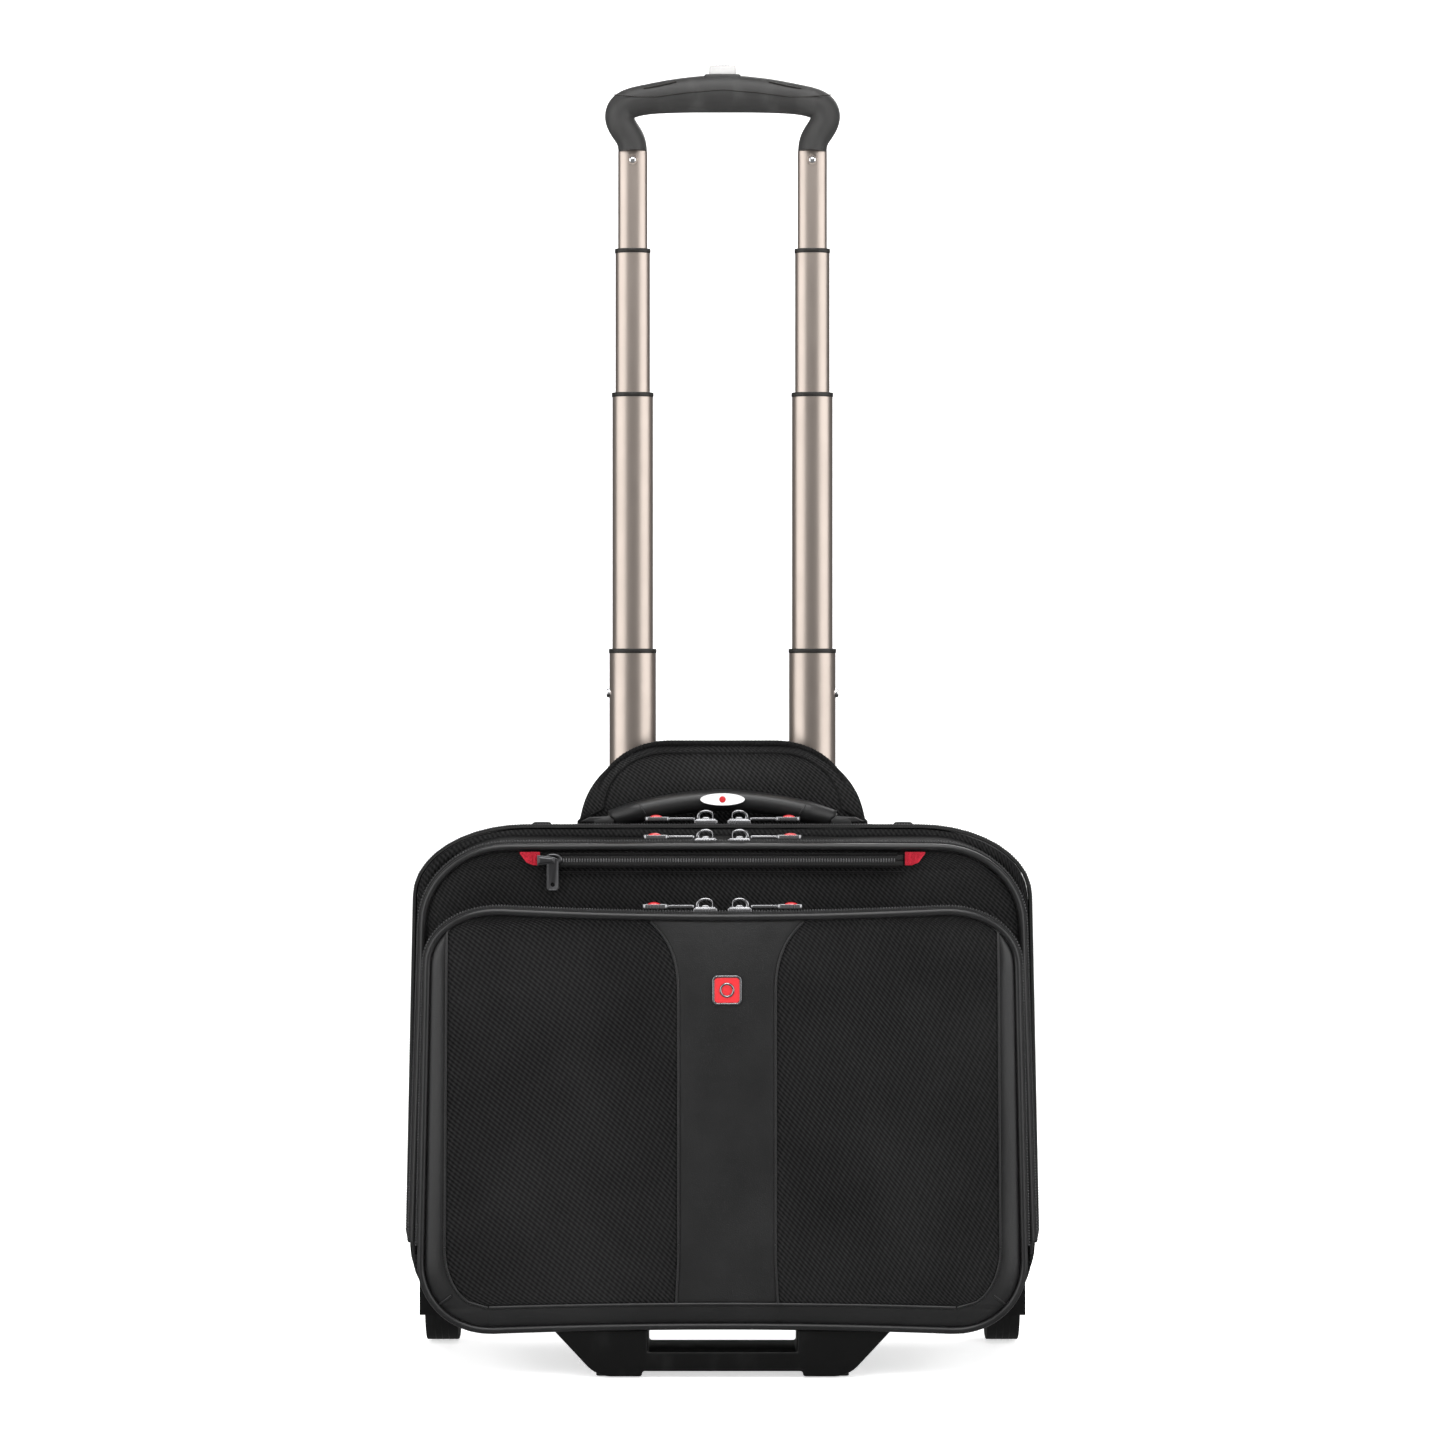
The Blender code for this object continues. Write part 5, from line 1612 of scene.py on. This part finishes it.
@dataclass
class Trolley:
    """The telescopic tubes, their collars and rivets, the grip and its button."""

    wall: float = 0.9 * MM
    lip: float = 0.4 * MM
    collar_height: float = 3.2 * MM
    collar_walls: tuple = (2.0 * MM, 1.8 * MM, 1.5 * MM)
    widths: tuple = ((34.0, 24.0), (29.8, 19.8), (25.4, 15.4), (21.6, 11.6))
    button_half: float = 10 * MM

    def oval(self, name: str, half: Point, centre: Point, low: float, high: float) -> Bench:
        """An oval bar standing between two heights."""
        bar = Bench(name).drum(1.0, (*centre, low), (*centre, high), 56)
        return bar.stretch((*half, 1), (*centre, low))

    def tube(self, stage: int, word: Word) -> None:
        """One oval tube with a dark collar at its top."""
        node = f"stage_{stage}_{word.value}"
        low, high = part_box(node)
        middle = [(a + b) / 2 for a, b in zip(*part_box(f"stage_2_{word.value}"))]
        centre = (middle[0], middle[1])
        whole = tuple(w * MM / 2 for w in self.widths[stage - 1])
        half = (whole[0] - self.lip, whole[1] - self.lip)
        top = high[2] - (self.collar_height if stage < 4 else 0)
        tube = self.oval(f"tube_{stage}_{word.value}", half, centre, low[2], top)
        tube.open_ends().thicken(self.wall, -1).dress("anodised", 50)
        keep(tube, f"stage_{stage}", "aluminium", node)
        if stage < 4:
            self.collar(stage, word, whole, centre, top, high[2])
        if stage == 4:
            self.rivet(word, (centre[0], centre[1] - half[1], high[2] - 6.5 * MM))
        if stage == 1:
            self.pin(word, centre, low, high)

    def collar(self, stage: int, word: Word, half: Point, centre: Point, low: float,
               high: float) -> None:
        """The dark moulded collar at the top of a stage."""
        collar = self.oval(f"collar_{stage}_{word.value}", half, centre, low + 0.1 * MM, high)
        collar.open_ends().thicken(self.collar_walls[stage - 1], -1)
        collar.soften(0.4 * MM, 2, 40).dress("collar", 50)
        keep(collar, f"stage_{stage}", "plastic")

    def rivet(self, word: Word, place: Sequence[float]) -> None:
        """The domed rivet near the top of the thinnest tube, in its dimple."""
        rivet = Bench(f"rivet_{word.value}").dome(place,
                                                  (2.5 * MM, 0.75 * MM, 2.5 * MM)).dress("chrome",
                                                                                         60)
        keep(rivet, "stage_4", "chrome")
        seat = Bench(f"rivet_seat_{word.value}").ring(3.5 * MM, 0.45 * MM, place, TO_FRONT, 36, 8)
        keep(seat.dress("anodised", 60), "stage_4", "aluminium")

    def pin(self, word: Word, centre: Point, low: Vector, high: Vector) -> None:
        """The sprung locking pin in the widest tube's outer side."""
        side = high[0] if word.sign > 0 else low[0]
        z = high[2] - 31.5 * MM
        pin = Bench(f"lock_pin_{word.value}").drum(3.2 * MM,
                                                   (side - word.sign * 4 * MM, centre[1], z),
                                                  (side, centre[1], z), 28)
        pin.soften(0.9 * MM, 3).dress("chrome", 50)
        keep(pin, "stage_1", "chrome")

    def grip(self) -> None:
        """The moulded grip: a bowed bar that turns down into two legs."""
        low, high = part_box("grip")
        y = (low[1] + high[1]) / 2
        leg = (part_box("stage_4_right")[0][0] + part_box("stage_4_right")[1][0]) / 2
        side = [(x * MM + leg, z, r) for x, z, r in
                ((0, 846.0, 10.2), (0.2, 850.4, 10.2), (1.6, 855.5, 10.2), (5.2, 860.5, 10.2),
                 (8.4, 865.5, 10.3),
                 (9.8, 871.2, 10.6), (7.6, 877.6, 10.7), (0.5, 881.0, 10.6), (-9.5, 883.0, 10.7),
                 (-20, 884.4, 11.4), (-31, 885.6, 12.2), (-47, 886.7, 13.0))]
        points = [*side, (0.0, 887.3, 13.7), *((-x, z, r) for x, z, r in reversed(side))]
        curve = bpy.data.curves.new("grip_line", "CURVE")
        curve.dimensions = "3D"
        curve.bevel_depth = 1.0
        curve.bevel_resolution = 10
        curve.resolution_u = 6
        curve.use_fill_caps = True
        line = curve.splines.new("NURBS")
        line.points.add(len(points) - 1)
        line.order_u = 4
        line.use_endpoint_u = True
        for spot, (x, z, r) in zip(line.points, points):
            spot.co = (x, y, z * MM, 1.0)
            spot.radius = r * MM
        made = stand("grip_body", curve)
        single_out(made)
        bpy.ops.object.convert(target="MESH")
        grip = Bench("grip_body").take(made)
        with grip.editing():
            bpy.ops.mesh.select_all(action="SELECT")
            bpy.ops.mesh.remove_doubles(threshold=0.01 * MM)
            bpy.ops.mesh.normals_make_consistent(inside=False)
            bpy.ops.transform.resize(value=(1, 1.08, 1), center_override=(0, y, 0.88))
        grip.cut(Bench("well").box((-self.button_half - 0.5 * MM, y - 6.5 * MM, 886 * MM),
                                   (self.button_half + 0.5 * MM, y + 6.5 * MM, 910 * MM)))
        grip.dress("soft_grip", 50)
        keep(grip, "stage_4", "soft_grip", "grip")
        # The parting line and the finger grooves are cords of darker plastic laid on the grip:
        # painted shade along the seam and in the grooves.
        for name, stops, thick in (
                ("parting_line", ((-77, 884.8), (-62, 883.4), (-47, 883.2), (-26, 885.9),
                                  (0, 887.9), (26, 885.9),
                                  (47, 883.2), (62, 883.4), (77, 884.8)), 0.4),
                ("left_finger_groove", ((-56, 889.6), (-50, 890.6), (-44, 891.8), (-38, 893.2),
                                        (-33, 894.4)), 0.75),
                ("right_finger_groove", ((33, 894.4), (38, 893.2), (44, 891.8), (50, 890.6),
                                         (56, 889.6)), 0.75)):
            keep(rope(name, [self.on_grip(x * MM, z * MM, y) for x,
                             z in resample(stops, 2.0, False)], thick * MM,
                      "collar"), "stage_4", "plastic")

    def on_grip(self, x: float, z: float, y: float) -> tuple[float, float, float]:
        """A point on the front of the grip's bar."""
        radius = (13.5 - 2.8 * min(1.0, abs(x) / (56 * MM)) ** 2) * MM
        middle = (887.2 - 4.2 * min(1.0, abs(x) / (56 * MM)) ** 2) * MM
        up = min(0.98, abs(z - middle) / radius)
        return x, y - 1.08 * radius * math.sqrt(1 - up * up) + 0.15 * MM, z

    def button(self) -> None:
        """The release button with its crowned, ribbed top, and the frame that it stands in."""
        low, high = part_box("release_button")
        y, half, top = (low[1] + high[1]) / 2, self.button_half, high[2] + 3.4 * MM
        button = Bench("button_cap").box((-half, y - 6 * MM, low[2]), (half, y + 6 * MM, top))
        with button.editing():
            button.pick(lambda c, n: n.z > 0.9)
            bpy.ops.transform.resize(value=(0.94, 0.88, 1), center_override=(0, y, 0))
            button.inset(4.2 * MM)
            button.extrude((0, 0, 0.9 * MM))
        button.soften(0.9 * MM, 3).dress("satin", 50)
        keep(button, "release_button", "chrome", "release_button")
        ribs = [Bench(f"button_rib_{k}").drum(0.4 * MM,
                                              (k * 2.2 * MM, y - 1.6 * MM, top + 0.9 * MM),
                                              (k * 2.2 * MM, y + 1.6 * MM, top + 0.9 * MM), 10)
                for k in range(-2, 3)]
        ribs[0].join(*ribs[1:]).dress("gunmetal", 60)
        keep(ribs[0], "release_button", "chrome")
        bezel = Bench("button_bezel").box((-half - 3 * MM, y - 8.4 * MM, 895 * MM),
                                          (half + 3 * MM, y + 8.4 * MM, 900.2 * MM))
        bezel.soften(1.6 * MM, 3)
        bezel.cut(Bench("gap").box((-half - 0.5 * MM, y - 6.5 * MM, 890 * MM),
                                   (half + 0.5 * MM, y + 6.5 * MM, 910 * MM)))
        keep(bezel.dress("soft_grip", 40), "stage_4", "soft_grip")

    def build(self) -> None:
        """Builds the trolley."""
        for stage in range(1, 5):
            for word in Word:
                self.tube(stage, word)
        self.grip()
        self.button()


@dataclass
class Hump:
    """The padded pocket on top of the case that the grip sinks into."""

    corner: Point = (50 * MM, 45 * MM)
    rib_out: float = 0.9 * MM

    def face(self, tag: str, facing: int) -> Outline:
        """One padded face, bound with a ribbed edge and a second line inside it."""
        low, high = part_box(f"hump_{tag}_panel")
        outline = Outline(high[0] - 15 * MM, high[0] - 2 * MM, low[2] - 1 * MM, high[2] - 1.6 * MM,
                          self.corner, (MM, MM))
        level = low[1] + 2.6 * MM if facing < 0 else high[1] - 2.6 * MM
        panel = Panel(f"hump_{tag}", outline, level, facing, (), (44,), ("hump_twill", "lining"),
                      lambda k, x, z: 0, (), Puff(4.0, 3.5 * MM), 3.5 * MM, 2.2 * MM,
                      4 * MM).build()
        keep(panel, "case", "nylon", f"hump_{tag}_panel")
        path = outline.path(2 * MM, outline.z_bottom + 1 * MM)
        edge = at_depth(path, level, 0.9 * MM)
        keep(rope(f"hump_{tag}_edge", edge, 1.9 * MM, "hump_twill"), "case", "nylon")
        inner = outline.inset(5.6 * MM).path(3 * MM, outline.z_bottom + 3 * MM)
        line = at_depth(inner, level + facing * 3.4 * MM)
        keep(rope(f"hump_{tag}_line", line, 0.7 * MM, "hump_twill"), "case", "nylon")
        self.ribs(tag, path, level)
        return outline

    def ribs(self, tag: str, path: Sequence[Point], level: float) -> None:
        """The ribs round the binding, one bent rib repeated along it."""
        rib = Bench(f"hump_{tag}_rib").ring(2.0 * MM, 0.36 * MM, (0, 0, 0), (0, 0, 0), 12, 4)

        def place(spot: Point, away: Point, corner: Vector) -> tuple[float, float, float]:
            cx, cz = (a + b * self.rib_out for a, b in zip(spot, away))
            return (cx + away[0] * corner.x + away[1] * corner.z, level + corner.y,
                    cz + away[1] * corner.x - away[0] * corner.z)
        made = strew(f"hump_{tag}_ribs", rib, resample(path, 2.6 * MM, False), place, "hump_twill")
        made.data.shade_smooth()
        keep(made, "case", "nylon")

    def build(self) -> None:
        """Builds both faces and the side walls between them."""
        outline = self.face("front", -1)
        self.face("back", 1)
        front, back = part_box("hump_front_panel")[1][1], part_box("hump_back_panel")[0][1]
        for word in Word:
            rows = []
            for k in range(9):
                z = outline.z_bottom + (2 + 2.6 * k) * MM
                x = word.sign * (outline.half_at(z) - 1.5 * MM)
                rows.append([Vector((x + word.sign * 1.4 * MM * math.sin(m / 10 * math.pi),
                                     front + (back - front) * m / 10,
                                     z - 6 * MM * (k / 8) * math.sin(m / 10 * math.pi)))
                             for m in range(11)])
            wall = tidy_normals(loft(f"hump_side_{word.value}", rows), Vector((word.sign, 0, 0)))
            finish_cloth(wall, "hump_twill", 1.6 * MM, -1, "lining")
            keep(wall, "case", "nylon")


@dataclass
class CarryHandle:
    """The padded carry handle, the loops that hold it and its badge."""

    points: int = 44
    bow: float = 1.75

    def line(self, t: float) -> float:
        """The height of the loop's middle at a share of its half length."""
        low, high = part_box("carry_handle")
        foot, crest = low[2] + 2.5 * MM, high[2] - 7.2 * MM
        return foot + (crest - foot) * (1 - abs(t) ** self.bow)

    def arch(self) -> None:
        """The padded loop, wide at the middle and drawn in at its ends."""
        low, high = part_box("carry_handle")
        y = (low[1] + high[1]) / 2
        half = high[0] + 1 * MM
        rows = []
        for k in range(self.points + 1):
            t = -1 + 2 * k / self.points
            x = half * t
            z = self.line(t)
            slope = -self.bow * abs(t) ** (self.bow - 1) * math.copysign(1, t) * 0.2
            fullness = 0.62 + 0.38 * min(1.0, (1 - abs(t)) / 0.22)
            ring = []
            for m in range(28):
                a = math.tau * m / 28
                wide = 11.8 * MM * fullness * math.copysign(abs(math.cos(a)) ** 0.8, math.cos(a))
                tall = 7.4 * MM * (0.5 + 0.5 * fullness) * math.copysign(abs(math.sin(a)) ** 0.9,
                                                                         math.sin(a))
                ring.append(Vector((x + tall * slope * -1, y + wide, z + tall)))
            rows.append(ring)
        made = loft("handle_loop", rows, True)
        closing = bmesh.new()
        closing.from_mesh(made.data)
        bmesh.ops.holes_fill(closing, edges=[e for e in closing.edges if e.is_boundary], sides=40)
        bmesh.ops.recalc_face_normals(closing, faces=closing.faces)
        closing.to_mesh(made.data)
        closing.free()
        made.data.materials.append(FINISH.get("handle_vinyl"))
        Puff(2.0, 0.6 * MM, 10).run(made,
                                    [v.index for v in made.data.vertices
                                     if abs(v.co.x) > half * 0.72])
        keep(made, "carry_handle", "vinyl", "carry_handle")
        for word in Word:
            seam = []
            for m in range(25):
                a = math.tau * m / 24
                x = word.sign * (0.71 * half + 4.0 * MM * math.sin(a))
                seam.append((x, y + 12.0 * MM * math.cos(a),
                             self.line(x / half) + 7.4 * MM * math.sin(a)))
            keep(rope(f"handle_lap_{word.value}", seam, 0.7 * MM, "handle_vinyl", True),
                 "carry_handle", "vinyl")

    def anchor(self, word: Word) -> None:
        """A stitched patch with a strap loop and a metal link."""
        low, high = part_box(f"handle_anchor_{word.value}")
        y = (low[1] + high[1]) / 2
        x = (low[0] + high[0]) / 2 + word.sign * 4 * MM
        patch = Bench(f"anchor_patch_{word.value}").slab(
            (15 * MM, 15 * MM), (x + word.sign * 3 * MM, y, low[2] + 0.4 * MM), (0, 0, 0), 4 * MM,
            2.0 * MM)
        patch.soften(0.7 * MM, 3).dress("vinyl")
        keep(patch, "case", "vinyl", f"handle_anchor_{word.value}")
        strap = Bench(f"anchor_strap_{word.value}").card(
            (6.5 * MM, 9.5 * MM), ((low[0] + high[0]) / 2, y, low[2] + 1.2 * MM))
        with strap.editing():
            strap.pick(lambda c, n: c.x * word.sign < ((low[0] + high[0]) / 2) * word.sign, "EDGE")
            strap.extrude((-word.sign * 0.5 * MM, 0, 3 * MM))
            strap.extrude((word.sign * 3 * MM, 0, 2.5 * MM))
            strap.extrude((word.sign * 6.5 * MM, 0, -3 * MM))
        strap.thicken(2.2 * MM, 0).soften(1.0 * MM, 3).dress("handle_vinyl")
        keep(strap, "case", "vinyl")
        centre = ((low[0] + high[0]) / 2 - word.sign * 4.5 * MM, y, low[2] + 6 * MM)
        link = Bench(f"anchor_link_{word.value}").ring(5.6 * MM, 1.1 * MM, centre, TO_SIDE, 36, 10)
        link.stretch((1, 1.15, 0.55), (0, y, low[2] + 6 * MM))
        keep(link.dress("collar", 60), "case", "gunmetal")

    def badge(self) -> None:
        """The white oval on the handle with a plain red bead."""
        low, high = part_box("handle_badge")
        y, z = (low[1] + high[1]) / 2 - 0.4 * MM, (low[2] + high[2]) / 2 + 0.4 * MM
        oval = Bench("handle_plate").drum(1.0, (0, y - 1.1 * MM, z), (0, y + 1.4 * MM, z), 48)
        oval.stretch(((high[0] - low[0]) / 2, 1, (high[2] - low[2]) / 2), (0, y, z))
        with oval.editing():
            oval.pick(lambda c, n: n.y < -0.9)
            oval.inset(0.9 * MM)
            oval.extrude((0, 0.35 * MM, 0))
        oval.soften(0.25 * MM, 2).dress("white_enamel", 50)
        keep(oval, "carry_handle", "badge_white", "handle_badge")
        bead = Bench("handle_bead").drum(2.3 * MM, (0, y - 1.2 * MM, z), (0, y - 0.2 * MM, z), 32)
        bead.soften(0.4 * MM, 3).dress("red_enamel", 50)
        keep(bead, "carry_handle", "badge_red")

    def build(self) -> None:
        """Builds the handle."""
        self.arch()
        for word in Word:
            self.anchor(word)
        self.badge()


@dataclass
class FrontBadge:
    """The small enamelled badge with a plain raised ring."""

    shift: float = 3 * MM

    def build(self) -> None:
        """Builds the badge."""
        low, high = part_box("front_badge")
        z = (low[2] + high[2]) / 2
        half = (high[0] - low[0]) / 2
        y = low[1] - 0.4 * MM
        rim = Bench("badge_rim").slab((half, half), (self.shift, y + 1.2 * MM, z), TO_FRONT,
                                      3.4 * MM, 2.4 * MM, 7)
        with rim.editing():
            rim.pick(lambda c, n: n.y < -0.9)
            rim.inset(1.3 * MM)
            rim.extrude((0, 1.0 * MM, 0))
        rim.soften(0.35 * MM, 3).dress("gunmetal")
        keep(rim, "organiser_lid", "gunmetal", "front_badge")
        face = Bench("badge_enamel").slab((half - 1.4 * MM, half - 1.4 * MM),
                                          (self.shift, y + 0.9 * MM, z),
                                          TO_FRONT, 2.4 * MM, 0.9 * MM, 7)
        face.soften(0.3 * MM, 3).dress("red_enamel")
        keep(face, "organiser_lid", "badge_red")
        ring = Bench("badge_ring").ring(4.3 * MM, 0.75 * MM, (self.shift, y + 0.1 * MM, z),
                                        TO_FRONT, 40, 8)
        keep(ring.dress("gunmetal", 60), "organiser_lid", "gunmetal")


@dataclass
class FrontFoot:
    """The moulded front foot: a beam with two pads and a hand slot."""

    def build(self) -> None:
        """Builds the foot."""
        low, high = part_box("front_foot")
        y = (low[1] + high[1]) / 2
        foot = Bench("foot_beam").box(low, high)
        with foot.editing():
            foot.pick(lambda c, n: n.z < -0.9)
            bpy.ops.transform.resize(value=(0.74, 0.9, 1), center_override=(0, y, 0))
            foot.pick(lambda c, n: abs(c.x) > 70 * MM and c.z < 1 * MM and abs(n.y) > 20 * MM,
                      "EDGE")
            bpy.ops.mesh.bevel(offset=9 * MM, segments=6)
        foot.cut(Bench("arch").box((-54 * MM, low[1] - 9 * MM, -9 * MM),
                                   (54 * MM, high[1] + 9 * MM, 3.6 * MM)))
        foot.cut(Bench("slot").box((-50 * MM, low[1] - 9 * MM, 17 * MM),
                                   (50 * MM, high[1] + 9 * MM, high[2] + 9 * MM)))
        foot.soften(2.0 * MM, 4, 35).dress("plastic", 30)
        keep(foot, "case", "plastic", "front_foot")
        for word in Word:
            x = word.sign * 71 * MM
            pad = Bench(f"foot_pad_{word.value}").slab((14 * MM, 24 * MM), (x, y, 0.9 * MM),
                                                       (0, 0, 0), 3 * MM, 1.8 * MM)
            pad.soften(0.6 * MM, 3).dress("rubber")
            keep(pad, "case", "tyre")


@dataclass
class Wheels:
    """The two rear wheels: a treaded tyre on a spoked hub."""

    def wheel(self, word: Word) -> None:
        """One wheel."""
        low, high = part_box(f"tyre_{word.value}")
        y, z = (low[1] + high[1]) / 2, (low[2] + high[2]) / 2
        radius, x0, x1 = (high[2] - low[2]) / 2, low[0], high[0]
        middle = (x0 + x1) / 2
        tyre = Bench(f"tyre_body_{word.value}").drum(radius, (x0, y, z), (x1, y, z), 72)
        with tyre.editing():
            tyre.pick(lambda c, n: abs(n.x) > 0.9)
            tyre.inset(radius * 0.30)
            bpy.ops.mesh.delete(type="FACE")
        with tyre.editing():
            bpy.ops.mesh.select_all(action="SELECT")
            bpy.ops.mesh.normals_make_consistent(inside=False)
        tyre.thicken(2.2 * MM, -1).soften(2.6 * MM, 4, 50).dress("rubber", 40)
        keep(tyre, f"wheel_{word.value}", "tyre", f"tyre_{word.value}")
        # The tread grooves are rings of darker plastic laid on the tyre: painted shade in the
        # grooves.
        for k in (-1, 0, 1):
            groove = Bench(f"tread_{k + 1}_{word.value}").ring(radius - 0.35 * MM, 0.55 * MM,
                                                            (middle + k * 4.6 * MM, y, z), TO_SIDE,
                                                            72, 6)
            keep(groove.dress("plastic", 60), f"wheel_{word.value}", "tyre")
        self.hub(word, middle, y, z, radius * 0.66)

    def hub(self, word: Word, x: float, y: float, z: float, radius: float) -> None:
        """The hub with its recessed faces and spokes."""
        low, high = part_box(f"hub_{word.value}")
        hub = Bench(f"hub_body_{word.value}").drum(radius + 1.2 * MM, (low[0] - 1 * MM, y, z),
                                                   (high[0] + 1 * MM, y, z), 64)
        with hub.editing():
            for side in (-1, 1):
                hub.pick(lambda c, n, side=side: n.x * side > 0.9)
                hub.inset(2.4 * MM)
                hub.extrude((-side * 4 * MM, 0, 0))
                hub.inset(radius * 0.52)
                hub.extrude((side * 3.4 * MM, 0, 0))
        hub.soften(0.7 * MM, 3, 40).dress("plastic", 40)
        keep(hub, f"wheel_{word.value}", "plastic", f"hub_{word.value}")
        spokes = []
        for k in range(5):
            a = math.tau * k / 5
            out = Vector((0, math.sin(a), math.cos(a)))
            for side in (low[0] + 1.8 * MM, high[0] - 1.8 * MM):
                start = Vector((side, y, z)) + out * radius * 0.3
                spokes.append(Bench(f"spoke_{k}").drum(1.9 * MM, start, start + out * radius * 0.62,
                                                       12))
        spokes[0].join(*spokes[1:]).dress("plastic", 40)
        spokes[0].piece.name = f"spokes_{word.value}"
        keep(spokes[0], f"wheel_{word.value}", "plastic")

    def build(self) -> None:
        """Builds both wheels."""
        for word in Word:
            self.wheel(word)


@dataclass
class Interior:
    """What the open covers show: pen loops, card pockets and a document pocket."""

    plan: Layout

    def build(self) -> None:
        """Builds the organiser's pockets on the front of the main cover."""
        y = self.plan.cover_y - 1.6 * MM
        for tag, x0, x1, z0, z1, deep in (("wide_pocket", -170, -10, 96, 190, 3.4),
                                          ("card_pocket", 12, 88, 96, 168, 3.0),
                                          ("phone_pocket", 100, 172, 96, 214, 4.6)):
            pocket = Bench(tag).box((x0 * MM, y - deep * MM, z0 * MM),
                                    (x1 * MM, y + 0.6 * MM, z1 * MM))
            with pocket.editing():
                pocket.pick(lambda c, n: n.y < -0.9)
                bpy.ops.mesh.subdivide(number_cuts=5)
                pocket.pick(lambda c, n, a=x0,
                            b=x1: n.y < -0.9 and abs(c.x / MM - (a + b) / 2) < (b - a) * 0.3)
                bpy.ops.transform.translate(value=(0, -1.2 * MM, 0))
            pocket.soften(1.2 * MM, 3).dress("lining")
            keep(pocket, "main_cover", "nylon")
            hem = [((x0 + (x1 - x0) * k / 12) * MM, y - (deep + 0.4) * MM, z1 * MM)
                   for k in range(13)]
            keep(rope(f"{tag}_hem", hem, 1.5 * MM, "tape"), "main_cover", "nylon")
        for k in range(3):
            x = (24 + 22 * k) * MM
            loop = Bench(f"pen_loop_{k + 1}").drum(5.2 * MM, (x, y - 3.4 * MM, 182 * MM),
                                                   (x, y - 3.4 * MM, 212 * MM), 32)
            loop.open_ends().thicken(1.1 * MM, -1).dress("tape")
            keep(loop, "main_cover", "nylon")


# ---- studio -------------------------------------------------------------------------------
@dataclass(frozen=True)
class Studio:
    """The pale floor, the soft lights and the camera."""

    distance: float = 3.02
    height: float = 0.439
    lens: float = 108.4

    def floor(self) -> None:
        """A seamless round floor that sweeps up all round, and that glossy things don't mirror."""
        profile = ((0.01, 0.0), (2.0, 0.0), (6.0, 0.0), (6.6, 0.06), (7.0, 0.3), (7.2, 0.8),
                   (7.2, 6.0))
        turns = [math.tau * k / 72 for k in range(72)]
        rows = [[Vector((r * math.cos(a), r * math.sin(a), z - MM)) for a in turns] for r,
                z in profile]
        made = tidy_normals(loft("studio_floor", rows, True), Vector((0, 0, 1)))
        paint = Paint("floor_paint")
        paint.coat(Base_Color=(0.93, 0.93, 0.93, 1.0), Roughness=paint.grain(3) * 0.1 + 0.6,
                   Emission_Color=(1.0, 1.0, 1.0, 1.0), Emission_Strength=0.6)
        made.data.materials.append(paint.material)
        made.visible_glossy = False

    def lamp(self, name: str, place: Sequence[float], aim: Sequence[float], size: Point,
             power: float) -> None:
        """One soft rectangular lamp."""
        light = bpy.data.lights.new(name, "AREA")
        light.shape = "RECTANGLE"
        light.size, light.size_y = size
        light.energy = power
        made = stand(name, light)
        made.location = place
        made.rotation_euler = (Vector(aim) - Vector(place)).to_track_quat("-Z", "Y").to_euler()
        made.visible_camera = False

    def build(self) -> None:
        """Sets the stage."""
        self.floor()
        self.lamp("left_softbox", (-1.95, -1.4, 0.9), (0, 0, 0.5), (2.3, 2.2), 33)
        self.lamp("right_softbox", (1.95, -1.4, 0.9), (0, 0, 0.5), (2.3, 2.2), 33)
        self.lamp("top_softbox", (0, -0.6, 2.5), (0, 0, 0.3), (2.0, 1.2), 42)
        self.lamp("front_softbox", (0, -2.1, 2.0), (0, -0.1, 0.3), (1.2, 0.8), 16)
        self.lamp("back_softbox", (0.6, 2.2, 2.0), (0, 0.1, 0.4), (1.6, 1.2), 26)
        world = bpy.data.worlds.new("studio_air")
        world.use_nodes = True
        world.node_tree.nodes["Background"].inputs[0].default_value = (1, 1, 1, 1)
        world.node_tree.nodes["Background"].inputs[1].default_value = 0.22
        bpy.context.scene.world = world
        bpy.context.scene.view_settings.view_transform = "Standard"
        lens = bpy.data.cameras.new("front_camera")
        lens.lens = self.lens
        lens.sensor_width = 36
        lens.clip_end = 50
        camera = stand("front_camera", lens)
        camera.location = (0, -self.distance, self.height)
        camera.rotation_euler = TO_FRONT
        bpy.context.scene.camera = camera


CARRIED = {
    "axle_left": "chrome", "axle_right": "chrome", "bottom_board": "board",
    "bracket_foot": "plastic",
    "bracket_top": "plastic", "handle_bay_panel": "lining", "tube_housing_left": "plastic",
    "tube_housing_right": "plastic", "wheel_housing_left": "plastic",
    "wheel_housing_right": "plastic",
    "button_spring": "chrome",
}


def dress_frame(frame: dict) -> None:
    """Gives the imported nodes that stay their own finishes."""
    for name, finish in CARRIED.items():
        node = frame["nodes"][name]
        node.data.materials.clear()
        node.data.materials.append(FINISH.get(finish))
        LOG.info("%s carried with %s", name, finish)


def main() -> None:
    """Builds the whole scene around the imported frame."""
    logging.basicConfig(level=logging.INFO, format="%(message)s")
    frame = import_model()
    bpy.ops.object.select_all(action="DESELECT")
    dress_frame(frame)
    Studio().build()
    plan = Layout()
    for assembly in (RearShell(plan), MainCompartment(plan), FrontOrganiser(plan), SlipPocket(plan),
                     Interior(plan),
                     Hump(), CarryHandle(), Trolley(), FrontBadge(), FrontFoot(), Wheels()):
        assembly.build()
    Pulls().build(plan)
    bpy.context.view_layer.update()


if __name__ == "__main__":
    main()
